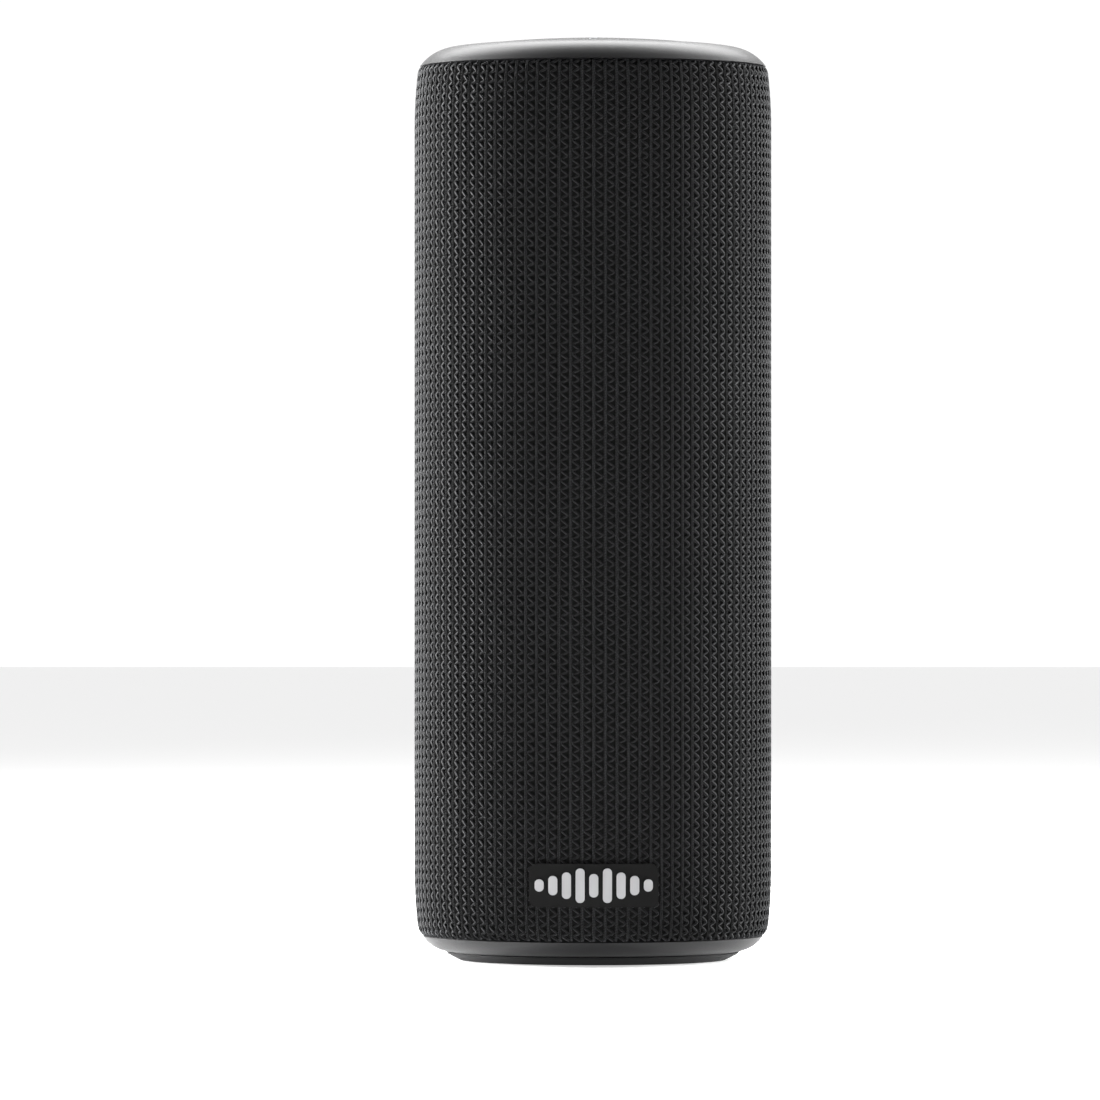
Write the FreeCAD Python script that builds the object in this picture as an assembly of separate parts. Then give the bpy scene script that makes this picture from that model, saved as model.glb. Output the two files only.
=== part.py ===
import FreeCAD, Part
import math
import os

from FreeCAD import Vector

# Portable wireless speaker: an upright cylinder in a knitted sleeve, with its keys on the domed top
# cap and its charging socket behind a small door at the back.
# Millimetres, +Z up, the origin at the centre of the foot's resting face, the front towards -Y.
#
# From outside to inside: the sleeve is glued to a slotted grille tube. The tube is held between the
# base cap and the top cap, which screw to a chassis of two half shells. The chassis is a sealed sound
# chamber with a driver and a passive radiator on each face, the battery in its middle, and an open
# bay above it for the main board.

# ---------------------------------------------------------------- overall sizes
body_height = 185.7
body_diameter = 72.0
body_radius = body_diameter / 2

# ---------------------------------------------------------------- sleeve and grille tube
sleeve_bottom = 5.0
top_cap_rise = 5.95
sleeve_top = body_height - top_cap_rise
sleeve_thickness = 0.9
base_inset = 1.6
top_inset = 1.05
flank_radius = 100.0
flank_turn = math.radians(6.3)
curl_radius = 3.3
glue_gap = 0.05
grille_wall = 1.5
slot_width = 3.2
slot_height = 12.0
slot_pitch = 15.5
slots_around = 24

# ---------------------------------------------------------------- top cap and crown
crown_radius = 217.0
shoulder_radius = 9.18
shoulder_start = 28.65 / 36.0 * body_radius
cap_gap = 0.25
cap_wall = 2.0
deck_thickness = 1.7
pad_depth = 3.4
pad_radius = body_radius - 9.6
pad_gap = 0.2
pad_recess = 0.12

# ---------------------------------------------------------------- base cap and foot
foot_height = 1.8
foot_inner_radius = 19.0
foot_contact_radius = body_radius - 9.2
foot_flange_radius = body_radius - 6.45
foot_seat_depth = 0.6
foot_lip_gap = 0.2
base_edge_radius = body_radius - 6.15
base_side_bulge = 0.55
base_floor = 2.0
base_spigot_top = 8.6

# ---------------------------------------------------------------- chassis
chassis_gap = 0.75
chassis_wall = 2.2
seal_thickness = 0.6
bay_height = 19.8
top_seal_thickness = 1.0
gasket_half = 0.3
gasket_inset = 0.4

# ---------------------------------------------------------------- drivers and radiators
driver_plate = 42.0
driver_plate_corner = 5.0
driver_plate_thickness = 1.5
driver_hole_radius = 18.9
driver_basket_radius = 18.6
driver_screw_place = 17.2
driver_pocket_margin = 2.0
cone_travel = 2.0
cone_rim_radius = 14.6
dome_rise = 3.0
dome_wall = 0.3
surround_roll = 1.5
surround_thickness = 0.5
coil_radius = 9.6
coil_wall = 0.3
winding = 0.35
winding_height = 3.1
gap_clearance = 0.32
yoke_wall = 1.7
yoke_floor = 2.0
magnet_thickness = 2.8
pole_thickness = 2.0
motor_top = -9.6
terminal_reach = 17.4
terminal_level = -6.4

radiator_width = 42.0
radiator_height = 63.0
radiator_corner = 8.0
radiator_opening = 17.0
radiator_roll = 1.6
radiator_plate_half = 13.6
radiator_plate_thickness = 1.2
radiator_weight_half = 8.0
radiator_weight_depth = 3.0
radiator_travel = 3.5

# ---------------------------------------------------------------- battery
cell_radius = 9.2
cell_length = 65.0
cell_gap = 0.5
cradle_wall = 1.3
cradle_end = 1.8
cradle_tab = 8.0
battery_bottom = 24.4

# ---------------------------------------------------------------- keys
play_key_radius = 5.6
side_key_radius = 4.2
key_circle = 13.5
key_clearance = 0.25
key_sink = 0.27
pad_edge = 0.25
symbol_rise = 0.15
key_flange = 0.9
key_flange_thickness = 1.0
key_flange_gap = 0.1
key_travel = 0.6
stem_radius = 1.7
switch_size = 6.0
switch_height = 3.3
switch_well_radius = 2.1
switch_well_depth = 1.0
switch_gap = 0.2

# ---------------------------------------------------------------- boards
board_thickness = 1.2
main_board_thickness = 1.6
main_board_lift = 5.8
main_board_radius_gap = 2.1
connector_height = 2.8
plug_place = 7.5
charge_lane = 6.5

# ---------------------------------------------------------------- charging port
port_centre = 16.0
port_width = 33.0
port_height = 10.4
port_corner = 2.6
port_gap = 0.15
bezel_width = 1.2
bezel_rise = 0.5
port_depth = 9.0
plug_recess_width = 26.0
plug_recess_height = 7.4
mouth_width = 30.8
mouth_height = 8.8
door_thickness = 1.5
door_clearance = 0.3
door_hinge_inset = 14.2
door_bead_radius = 0.72
door_groove_radius = 1.45
door_sink = 0.3
door_pin_radius = 0.4
door_pin_gap = 0.05
door_pin_depth = 1.1
lip_depth = 4.1
lip_wall = 0.9
socket_width = 8.94
socket_height = 3.26
socket_length = 7.3
socket_shell = 0.3
socket_clearance = 0.17
tongue_thickness = 0.7

# ---------------------------------------------------------------- badge
badge_width = 25.6
badge_height = 8.6
badge_corner = 1.6
badge_thickness = 0.5
badge_centre = 16.2
stick_gap = 0.02
badge_pin_radius = 0.8
badge_pin_spacing = 17.0
bar_width = 1.8
bar_pitch = 2.7
bar_rise = 0.6
bar_heights = (2.4, 3.8, 5.2, 6.8, 4.6, 6.8, 5.2, 3.8, 2.4)

# ---------------------------------------------------------------- screws
small_screw = {"head": 1.8, "head_height": 1.2, "shank": 0.95, "length": 4.0}
baffle_screw = {"head": 2.0, "head_height": 1.2, "shank": 1.05, "length": 5.0}
case_screw = {"head": 2.1, "head_height": 1.6, "shank": 1.05, "length": 11.0}
cap_screw = {"head": 2.1, "head_height": 1.6, "shank": 1.05, "length": 15.0}
thread_gap = 0.03
clearance_hole = 1.35
boss_wall = 2.1

# ---------------------------------------------------------------- sizes that follow
grille_offset = sleeve_thickness + glue_gap
inner_offset = grille_offset + grille_wall
chassis_radius = body_radius - inner_offset - chassis_gap
chassis_bore = chassis_radius - chassis_wall
chassis_bottom = base_spigot_top + seal_thickness
chassis_floor = chassis_bottom + chassis_wall
spigot_radius = chassis_radius - 0.6
deck_top = body_height - pad_depth
deck_bottom = deck_top - deck_thickness
spigot_bottom = deck_bottom - 7.6
chassis_top = spigot_bottom - top_seal_thickness
bulkhead_top = chassis_top - bay_height
bulkhead_bottom = bulkhead_top - chassis_wall

baffle_half_width = driver_plate / 2 + driver_pocket_margin
baffle_face = math.sqrt(chassis_radius ** 2 - baffle_half_width ** 2)
baffle_back = baffle_face - chassis_wall
driver_centre = bulkhead_bottom - 31.0
driver_pocket = (driver_centre - driver_plate / 2 - 2.5, driver_centre + driver_plate / 2 + 2.5)
battery_top = battery_bottom + 2 * cradle_end + cell_length + 2.0
radiator_centre = (battery_bottom + battery_top) / 2 - 2.6
radiator_pocket = (radiator_centre - radiator_height / 2 - 1.0, radiator_centre + radiator_height / 2 + 1.0)
radiator_straight = radiator_height / 2 - driver_plate / 2 + 1.0

case_screw_side = chassis_bore - 4.1
case_screw_levels = (17.0, (radiator_pocket[1] + driver_pocket[0]) / 2, bulkhead_bottom - 4.0)
cap_screw_circle = chassis_bore - 5.6
base_screw_circle = chassis_bore - 6.6
base_screw_seat = foot_height + base_floor + 0.8
board_screw_circle = chassis_bore - 6.6
board_screw_angles = (68, 112, 248, 292)
main_board_bottom = bulkhead_top + main_board_lift
main_board_top = main_board_bottom + main_board_thickness
main_board_radius = chassis_bore - main_board_radius_gap

key_flange_top = deck_bottom - key_flange_gap
key_flange_bottom = key_flange_top - key_flange_thickness
switch_top = key_flange_bottom - key_travel - switch_gap
button_board_top = switch_top - switch_height
button_board_bottom = button_board_top - board_thickness
button_board_radius = cap_screw_circle - 3.6
button_screw_circle = 16.0
light_place = key_circle + side_key_radius + 2.3
light_radius = 0.8

port_floor = body_radius - port_depth
port_pocket_floor = port_floor - 2.9
door_outer = body_radius + bezel_rise - door_sink
door_inner = door_outer - door_thickness
door_hinge_radius = door_outer - 0.5
door_hinge_y = math.sqrt(door_hinge_radius ** 2 - door_hinge_inset ** 2)
port_board_top = port_centre - socket_height / 2 - 0.02
port_board_bottom = port_board_top - board_thickness
socket_back = port_floor - 0.2 - socket_length
port_board_back = 9.0

cradle_half_width = 2 * cell_radius + cell_gap / 2 + 0.8
cradle_back = cell_radius + 0.3
cradle_levels = (battery_bottom + 12.0, battery_top - 17.0)
cradle_screw_side = chassis_bore - 5.6
battery_board_bottom = battery_top + 0.2
battery_board_top = battery_board_bottom + board_thickness
lead_level = battery_board_top + connector_height / 2
grommet_place = (18.0, 8.5)
grommet_radius = 4.4
grommet_flange = 5.6
speaker_lead_radius = 0.9
battery_lead_radius = 1.3


# ================================================================ shapes
def turned(start, *steps):
    """A solid of revolution about Z. Points are (radius, height); a step of two points is an arc."""
    edges = []
    here = start
    for step in (*steps, start):
        if isinstance(step[0], tuple):
            middle, there = step
            edges.append(Part.Arc(spot(here), spot(middle), spot(there)).toShape())
        else:
            there = step
            edges.append(Part.makeLine(spot(here), spot(there)))
        here = there
    face = Part.Face(Part.Wire(edges))
    return face.revolve(Vector(0, 0, 0), Vector(0, 0, 1), 360)


def spot(point):
    """A (radius, height) point of a turned profile, in the XZ plane."""
    return Vector(point[0], 0, point[1])


def on_arc(centre, radius, angle):
    """The profile point at that angle, in radians, from the +r direction."""
    return (centre[0] + radius * math.cos(angle), centre[1] + radius * math.sin(angle))


def block(x0, x1, y0, y1, z0, z1):
    return Part.makeBox(x1 - x0, y1 - y0, z1 - z0, Vector(x0, y0, z0))


def rod(radius, x, y, z0, z1):
    """An upright cylinder."""
    return Part.makeCylinder(radius, z1 - z0, Vector(x, y, z0))


def cross_rod(radius, x, z, y0, y1):
    """A cylinder along Y."""
    return Part.makeCylinder(radius, y1 - y0, Vector(x, y0, z), Vector(0, 1, 0))


def ring(outer, inner, z0, z1):
    return rod(outer, 0, 0, z0, z1).cut(rod(inner, 0, 0, z0, z1))


def rounded_face(width, height, corner):
    """A rounded rectangle in the XY plane, centred on the origin."""
    a = width / 2 - corner
    b = height / 2 - corner
    diagonal = corner * math.sqrt(0.5)
    corners = ((a, b, 1, 1), (-a, b, -1, 1), (-a, -b, -1, -1), (a, -b, 1, -1))
    edges = []
    last = Vector(width / 2, -b, 0)
    for number, (x, y, right, up) in enumerate(corners):
        sideways = Vector(x + right * corner, y, 0)
        upwards = Vector(x, y + up * corner, 0)
        first, then = (sideways, upwards) if number % 2 == 0 else (upwards, sideways)
        if last.distanceToPoint(first) > 1e-6:
            edges.append(Part.makeLine(last, first))
        edges.append(Part.Arc(first, Vector(x + right * diagonal, y + up * diagonal, 0), then).toShape())
        last = then
    return Part.Face(Part.Wire(edges))


def slab(width, height, corner, z0, z1):
    """A rounded rectangle's prism, standing on the XY plane's directions."""
    face = rounded_face(width, height, corner)
    face.translate(Vector(0, 0, z0))
    return face.extrude(Vector(0, 0, z1 - z0))


def racetrack(half_width, z0, z1):
    """A prism with round ends, on the radiators' common centres."""
    return slab(2 * half_width, 2 * (half_width + radiator_straight), half_width, z0, z1)


def facing(shape, side, height):
    """Turns a shape made lying down, outwards up, to face front (-1) or rear (+1) at that height."""
    placed = shape.copy()
    placed.rotate(Vector(0, 0, 0), Vector(1, 0, 0), 90)
    if side > 0:
        placed.rotate(Vector(0, 0, 0), Vector(0, 0, 1), 180)
    placed.translate(Vector(0, 0, height))
    return placed


def shell_patch(width, height, corner, inner, outer):
    """A rounded patch of the speaker's side between two radii, lying down, outwards up."""
    patch = slab(width, height, corner, 0.0, outer + 5.0)
    barrel_length = 4 * height
    barrel = Part.makeCylinder(outer, barrel_length, Vector(0, -barrel_length / 2, 0), Vector(0, 1, 0))
    bore = Part.makeCylinder(inner, barrel_length, Vector(0, -barrel_length / 2, 0), Vector(0, 1, 0))
    return patch.common(barrel).cut(bore)


def around(circle, angles):
    """Places on a circle about Z, at angles in degrees."""
    return [(circle * math.cos(math.radians(a)), circle * math.sin(math.radians(a))) for a in angles]


def joined(shapes):
    """One solid of several."""
    whole = shapes[0]
    if len(shapes) > 1:
        whole = whole.multiFuse(list(shapes[1:]))
    return whole.removeSplitter()


def screw(size):
    """A pan-head screw with a cross recess, its seat at the origin and its shank down."""
    head = Part.makeCylinder(size["head"], size["head_height"])
    head = head.makeFillet(size["head_height"] * 0.35, [head.Edges[0]])
    slot = size["head"] * 0.62
    width = size["head"] * 0.16
    depth = size["head_height"] * 0.55
    top = size["head_height"]
    cross = block(-slot, slot, -width, width, top - depth, top)
    cross = cross.fuse(block(-width, width, -slot, slot, top - depth, top))
    shank = Part.makeCylinder(size["shank"], size["length"], Vector(0, 0, -size["length"]))
    return joined([head.cut(cross), shank])


def pilot(size):
    return size["shank"] + thread_gap


def upright_screws(size, places, seat, downwards=True):
    """Screws at (x, y) places, their heads' seats at one height."""
    made = []
    for x, y in places:
        one = screw(size)
        if not downwards:
            one.rotate(Vector(0, 0, 0), Vector(1, 0, 0), 180)
        one.translate(Vector(x, y, seat))
        made.append(one)
    return made


def level_screws(size, places, seat, outwards):
    """Screws along Y at (x, z) places; outwards is the heads' direction, -1 or +1."""
    made = []
    for x, z in places:
        one = screw(size)
        one.rotate(Vector(0, 0, 0), Vector(1, 0, 0), -90 * outwards)
        one.translate(Vector(x, seat, z))
        made.append(one)
    return made


def lead(points, radius):
    """A round lead along straight runs joined by tangent arcs, as large as the runs allow."""
    route = [Vector(*p) for p in points]
    edges = []
    here = route[0]
    for before, corner, after in zip(route, route[1:], route[2:]):
        back = before - corner
        onward = after - corner
        reach = 0.45 * min(back.Length, onward.Length)
        back.normalize()
        onward.normalize()
        half_angle = back.getAngle(onward) / 2
        start = corner + back * reach
        end = corner + onward * reach
        inward = back + onward
        inward.normalize()
        bend = reach * math.tan(half_angle)
        middle = corner + inward * (reach / math.cos(half_angle) - bend)
        edges.append(Part.makeLine(here, start))
        edges.append(Part.Arc(start, middle, end).toShape())
        here = end
    edges.append(Part.makeLine(here, route[-1]))
    path = Part.Wire(edges)
    first_run = route[1] - route[0]
    circle = Part.Wire([Part.makeCircle(radius, route[0], first_run)])
    return path.makePipeShell([circle], True, False)


# ================================================================ outer skin
def side_line(offset, end):
    """The side's curve at one end (-1 bottom, +1 top), inset by offset: cylinder, flank arc, curl arc."""
    tip, inset = (sleeve_bottom, base_inset) if end < 0 else (sleeve_top, top_inset)
    flank_drop = flank_radius * (1 - math.cos(flank_turn))
    curl_turn = math.acos(math.cos(flank_turn) - (inset - flank_drop) / curl_radius)
    flank_rise = flank_radius * math.sin(flank_turn)
    curl_rise = curl_radius * (math.sin(curl_turn) - math.sin(flank_turn))
    start = tip - end * (flank_rise + curl_rise)
    flank_centre = (body_radius - flank_radius, start)
    shift = flank_radius - curl_radius
    curl_centre = (flank_centre[0] + shift * math.cos(flank_turn), start + end * shift * math.sin(flank_turn))
    flank = flank_radius - offset
    curl = curl_radius - offset
    return {
        "start": (body_radius - offset, start),
        "flank": on_arc(flank_centre, flank, end * flank_turn / 2),
        "join": on_arc(flank_centre, flank, end * flank_turn),
        "curl": on_arc(curl_centre, curl, end * (flank_turn + curl_turn) / 2),
        "tip": on_arc(curl_centre, curl, end * curl_turn),
        "turn": curl_turn,
    }


def side_shell(outer, inner):
    """The sleeve's shape between two insets, with its rolled-in ends."""
    low_out, high_out = side_line(outer, -1), side_line(outer, 1)
    low_in, high_in = side_line(inner, -1), side_line(inner, 1)
    return turned(
        low_out["tip"],
        (low_out["curl"], low_out["join"]),
        (low_out["flank"], low_out["start"]),
        high_out["start"],
        (high_out["flank"], high_out["join"]),
        (high_out["curl"], high_out["tip"]),
        high_in["tip"],
        (high_in["curl"], high_in["join"]),
        (high_in["flank"], high_in["start"]),
        low_in["start"],
        (low_in["flank"], low_in["join"]),
        (low_in["curl"], low_in["tip"]),
    )


def port_window(clearance):
    """The hole for the port's frame through the sleeve and the grille."""
    width = port_width + 2 * clearance
    height = port_height + 2 * clearance
    hole = slab(width, height, port_corner + clearance, port_floor - 1.0, body_radius + 2.0)
    return facing(hole, 1, port_centre)


def badge_pins(radius, inner, outer):
    """Pins behind the badge, or the holes that they go through."""
    half = badge_pin_spacing / 2
    return [cross_rod(radius, x, badge_centre, -outer, -inner) for x in (-half, half)]


def knit_sleeve():
    cuts = [port_window(port_gap), *badge_pins(badge_pin_radius + 0.1, body_radius - 4, body_radius + 1)]
    return side_shell(0.0, sleeve_thickness).cut(cuts)


def grille_slots():
    """Boxes through the whole tube; each one makes two slots, opposite each other."""
    reach = body_radius + 5.0
    first = port_centre + port_height / 2 + 6.0
    rows = int((sleeve_top - 14.0 - first - slot_height) / slot_pitch) + 1
    cuts = []
    for row in range(rows):
        z = first + row * slot_pitch
        stagger = 0.5 * (row % 2)
        for number in range(slots_around // 2):
            cut = block(-slot_width / 2, slot_width / 2, -reach, reach, z, z + slot_height)
            cut.rotate(Vector(0, 0, 0), Vector(0, 0, 1), (number + stagger) * 360 / slots_around)
            cuts.append(cut)
    return cuts


def grille_tube():
    tube = side_shell(grille_offset, inner_offset)
    pins = badge_pins(badge_pin_radius + 0.1, body_radius - 6, body_radius + 1)
    return tube.cut([port_window(port_gap), *pins, *grille_slots()])


def badge_plate():
    back = body_radius + stick_gap
    plate = shell_patch(badge_width, badge_height, badge_corner, back, body_radius + badge_thickness)
    plate = facing(plate, -1, badge_centre)
    middle = math.sqrt((body_radius + badge_thickness / 2) ** 2 - (badge_pin_spacing / 2) ** 2)
    return joined([plate, *badge_pins(badge_pin_radius, middle - 1.6, middle)])


def badge_bars():
    """Raised bars of different lengths, like a sound level meter."""
    inner = body_radius + badge_thickness + stick_gap
    first = -bar_pitch * (len(bar_heights) - 1) / 2
    bars = []
    for number, height in enumerate(bar_heights):
        bar = slab(bar_width, height, bar_width / 2 - 0.05, inner - 5.0, inner + 5.0)
        bar.translate(Vector(first + number * bar_pitch, 0, 0))
        length = 2 * badge_height
        barrel = Part.makeCylinder(inner + bar_rise, length, Vector(0, -length / 2, 0), Vector(0, 1, 0))
        core = Part.makeCylinder(inner, length, Vector(0, -length / 2, 0), Vector(0, 1, 0))
        bars.append(facing(bar.common(barrel).cut(core), -1, badge_centre))
    return Part.makeCompound(bars)


# ================================================================ base
def ledge(end, outer_tip, inner_radius):
    """Where the cap's sloping ledge, parallel to the sleeve's end face, meets the spigot."""
    turn = side_line(0.0, end)["turn"]
    run = outer_tip[0] - inner_radius
    return (inner_radius, outer_tip[1] - end * run * math.tan(turn))


def base_screw_places():
    return around(base_screw_circle, (45, 135, 225, 315))


def base_cap():
    tip = (body_radius - base_inset - 0.1, sleeve_bottom - cap_gap)
    edge = (base_edge_radius, foot_height)
    chord = (tip[0] - edge[0], tip[1] - edge[1])
    length = math.hypot(*chord)
    bulge = base_side_bulge / length
    middle = ((tip[0] + edge[0]) / 2 + chord[1] * bulge, (tip[1] + edge[1]) / 2 - chord[0] * bulge)
    floor = foot_height + base_floor
    bore = spigot_radius - cap_wall
    cap = turned(
        (0, foot_height),
        edge,
        (middle, tip),
        ledge(-1, tip, spigot_radius),
        (spigot_radius, base_spigot_top),
        (bore, base_spigot_top),
        (bore, floor),
        (0, floor),
    )
    seat = ring(foot_flange_radius - 0.6, foot_inner_radius, foot_height, foot_height + foot_seat_depth)
    bosses = [rod(4.4, x, y, floor - 0.5, base_spigot_top) for x, y in base_screw_places()]
    cuts = [seat]
    for x, y in base_screw_places():
        cuts.append(rod(case_screw["head"] + 0.35, x, y, foot_height, base_screw_seat))
        cuts.append(rod(clearance_hole, x, y, foot_height, base_spigot_top + 1))
    return joined([cap, *bosses]).cut(cuts)


def foot_ring():
    """A rubber ring set in the base cap, with a sloping side and a thin flange under the cap's edge."""
    seat = foot_flange_radius - 0.65
    return turned(
        (foot_inner_radius + 0.05, 0.0),
        (foot_contact_radius, 0.0),
        (foot_flange_radius - 0.25, foot_height - foot_lip_gap - 0.35),
        (foot_flange_radius, foot_height - foot_lip_gap),
        (seat, foot_height - foot_lip_gap),
        (seat, foot_height + foot_seat_depth),
        (foot_inner_radius + 0.05, foot_height + foot_seat_depth),
    )


def base_seal():
    return ring(spigot_radius - 0.1, spigot_radius - cap_wall + 0.1, base_spigot_top, chassis_bottom)


def base_screws():
    heads_down = upright_screws(case_screw, base_screw_places(), base_screw_seat, downwards=False)
    return Part.makeCompound(heads_down)


# ================================================================ top
def crown(rise):
    """The ball whose top is the crown, raised by rise."""
    return Part.makeSphere(crown_radius, Vector(0, 0, body_height - crown_radius + rise))


def crown_height(radius):
    return body_height - crown_radius + math.sqrt(crown_radius ** 2 - radius ** 2)


def shoulder():
    """The shoulder arc's middle and end, tangent to the crown where it starts."""
    lean = math.asin(shoulder_start / crown_radius)
    centre = (
        shoulder_start - shoulder_radius * math.sin(lean),
        crown_height(shoulder_start) - shoulder_radius * math.cos(lean),
    )
    tip_radius = body_radius - top_inset - 0.05
    start_angle = math.pi / 2 - lean
    end_angle = math.acos((tip_radius - centre[0]) / shoulder_radius)
    middle = on_arc(centre, shoulder_radius, (start_angle + end_angle) / 2)
    return middle, on_arc(centre, shoulder_radius, end_angle)


def key_places():
    """Each key's name, radius and centre."""
    left, right, rear, front = around(key_circle, (180, 0, 90, 270))
    return {
        "play_button": (play_key_radius, (0.0, 0.0)),
        "volume_down_button": (side_key_radius, left),
        "volume_up_button": (side_key_radius, right),
        "power_button": (side_key_radius, rear),
        "pairing_button": (side_key_radius, front),
    }


def cap_screw_places():
    return around(cap_screw_circle, (45, 135, 225, 315))


def button_screw_places():
    return around(button_screw_circle, (45, 135, 225, 315))


def top_cap():
    middle, tip = shoulder()
    bore = spigot_radius - cap_wall
    edge = pad_radius + pad_gap
    crown_middle = (edge + shoulder_start) / 2
    cap = turned(
        tip,
        (middle, (shoulder_start, crown_height(shoulder_start))),
        ((crown_middle, crown_height(crown_middle)), (edge, crown_height(edge))),
        (edge, deck_top),
        (0, deck_top),
        (0, deck_bottom),
        (bore, deck_bottom),
        (bore, spigot_bottom),
        (spigot_radius, spigot_bottom),
        ledge(1, tip, spigot_radius),
    )
    cap = cap.makeFillet(pad_edge, [line for line in cap.Edges if at_pad_edge(line)])
    boss_end = chassis_top + 0.3
    bosses = [rod(pilot(cap_screw) + boss_wall, x, y, boss_end, deck_top) for x, y in cap_screw_places()]
    small = pilot(small_screw)
    bosses += [rod(small + 1.4, x, y, button_board_top, deck_top) for x, y in button_screw_places()]
    cuts = [rod(light_radius + 0.1, 0, -light_place, deck_bottom - 1, deck_top + 1)]
    for x, y in cap_screw_places():
        cuts.append(rod(cap_screw["head"] + 0.3, x, y, deck_top - cap_screw["head_height"] - 0.1, deck_top))
        cuts.append(rod(clearance_hole, x, y, boss_end - 1, deck_top))
    for x, y in button_screw_places():
        cuts.append(rod(small, x, y, button_board_top - 1, button_board_top + small_screw["length"]))
    for radius, (x, y) in key_places().values():
        cuts.append(rod(radius + key_clearance, x, y, deck_bottom - 1, deck_top + 1))
    return joined([cap, *bosses]).cut(cuts)


def at_pad_edge(line):
    """True for the cap's edge round the pad, on the crown."""
    box = line.BoundBox
    return abs(box.XMax - pad_radius - pad_gap) < 0.01 and box.ZMin > deck_top + 0.1 and box.ZLength < 0.01


def eased(shape, radius, above):
    """The shape with its edges above a height rounded."""
    return shape.makeFillet(radius, [line for line in shape.Edges if line.BoundBox.ZMin > above])


def control_pad():
    """The soft pad that fills the cap's recess, with the keys' and the light's holes."""
    pad = rod(pad_radius, 0, 0, deck_top, body_height + 1).common(crown(-pad_recess))
    pad = eased(pad, pad_edge, deck_top + 0.1)
    cuts = [rod(light_radius + 0.05, 0, -light_place, deck_top - 1, body_height + 1)]
    for radius, (x, y) in key_places().values():
        cuts.append(rod(radius + key_clearance, x, y, deck_top - 1, body_height + 1))
    return pad.cut(cuts)


def bar(width, height, x=0.0, y=0.0):
    """A bar of a key's symbol, tall enough to be cut to the crown."""
    return block(x - width / 2, x + width / 2, y - height / 2, y + height / 2, deck_top, body_height + 2)


def symbol_ring(outer, inner, x=0.0, y=0.0):
    return rod(outer, x, y, deck_top, body_height + 2).cut(rod(inner, x, y, deck_top, body_height + 2))


def symbol(name):
    """A raised sign for each key, about the key's own centre."""
    if name == "volume_down_button":
        return bar(3.6, 0.8)
    if name == "volume_up_button":
        return bar(3.6, 0.8).fuse(bar(0.8, 3.6))
    if name == "power_button":
        gap = bar(1.5, 2.4, 0, 1.6)
        return symbol_ring(1.9, 1.3).cut(gap).fuse(bar(0.6, 1.9, 0, 1.35))
    if name == "pairing_button":
        return symbol_ring(1.4, 0.9, -0.85).fuse(symbol_ring(1.4, 0.9, 0.85))
    points = [Vector(-3.0, -1.7, deck_top), Vector(-3.0, 1.7, deck_top), Vector(-0.2, 0, deck_top)]
    triangle = Part.Face(Part.makePolygon([*points, points[0]]))
    arrow = triangle.extrude(Vector(0, 0, body_height + 2 - deck_top))
    return arrow.fuse([bar(0.8, 3.2, 1.0), bar(0.8, 3.2, 2.5)])


def key(name, radius, place):
    """A key cap: its face follows the crown, and its flange holds it under the deck."""
    x, y = place
    body = rod(radius, x, y, key_flange_bottom, body_height + 1).common(crown(-key_sink))
    sign = symbol(name)
    sign.translate(Vector(x, y, 0))
    sign = sign.common(crown(symbol_rise - key_sink))
    flange = rod(radius + key_flange, x, y, key_flange_bottom, key_flange_top)
    stem = rod(stem_radius, x, y, switch_top - switch_gap, key_flange_bottom + 0.1)
    return joined([body, sign, flange, stem])


def status_light_guide():
    guide = rod(light_radius, 0, -light_place, button_board_top + 0.8, body_height)
    return guide.common(crown(-pad_recess / 2))


def button_board():
    board = rod(button_board_radius, 0, 0, button_board_bottom, button_board_top)
    hole = small_screw["shank"] + 0.15
    return board.cut([rod(hole, x, y, button_board_bottom, button_board_top) for x, y in button_screw_places()])


def tact_switches():
    """One switch under each key, with a well that the key's stem goes down into."""
    half = switch_size / 2
    switches = []
    for radius, (x, y) in key_places().values():
        body = block(x - half, x + half, y - half, y + half, button_board_top, switch_top)
        well = rod(switch_well_radius, x, y, switch_top - switch_well_depth, switch_top)
        switches.append(body.cut(well))
    light = rod(light_radius, 0, -light_place, button_board_top, button_board_top + 0.7)
    return Part.makeCompound([*switches, light])


def top_seal():
    return ring(spigot_radius - 0.1, spigot_radius - cap_wall + 0.1, chassis_top, spigot_bottom)


def top_cap_screws():
    seat = deck_top - cap_screw["head_height"] - 0.1
    return Part.makeCompound(upright_screws(cap_screw, cap_screw_places(), seat))


# ================================================================ chassis
def half_space(side, z0, z1):
    reach = body_diameter
    if side < 0:
        return block(-reach, reach, -reach, -gasket_half, z0, z1)
    return block(-reach, reach, gasket_half, reach, z0, z1)


def pocket(side, span, depth, margin=0.0):
    """The flat cut across the chassis that makes a baffle, over a span of heights."""
    low = min(side * depth, side * body_diameter)
    high = max(side * depth, side * body_diameter)
    return block(-body_diameter, body_diameter, low, high, span[0] - margin, span[1] + margin)


def baffle_screw_places(side):
    """Screw places on one baffle as (x, z)."""
    places = []
    for right in (-1, 1):
        for up in (-1, 1):
            places.append((right * driver_screw_place, driver_centre + up * driver_screw_place))
            level = radiator_centre + up * (radiator_height / 2 - 3.3)
            places.append((right * driver_screw_place, level))
    return places


def along(side, near, far):
    """The two ends of a span of distances behind one face, as rising Y values."""
    return sorted((side * near, side * far))


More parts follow.
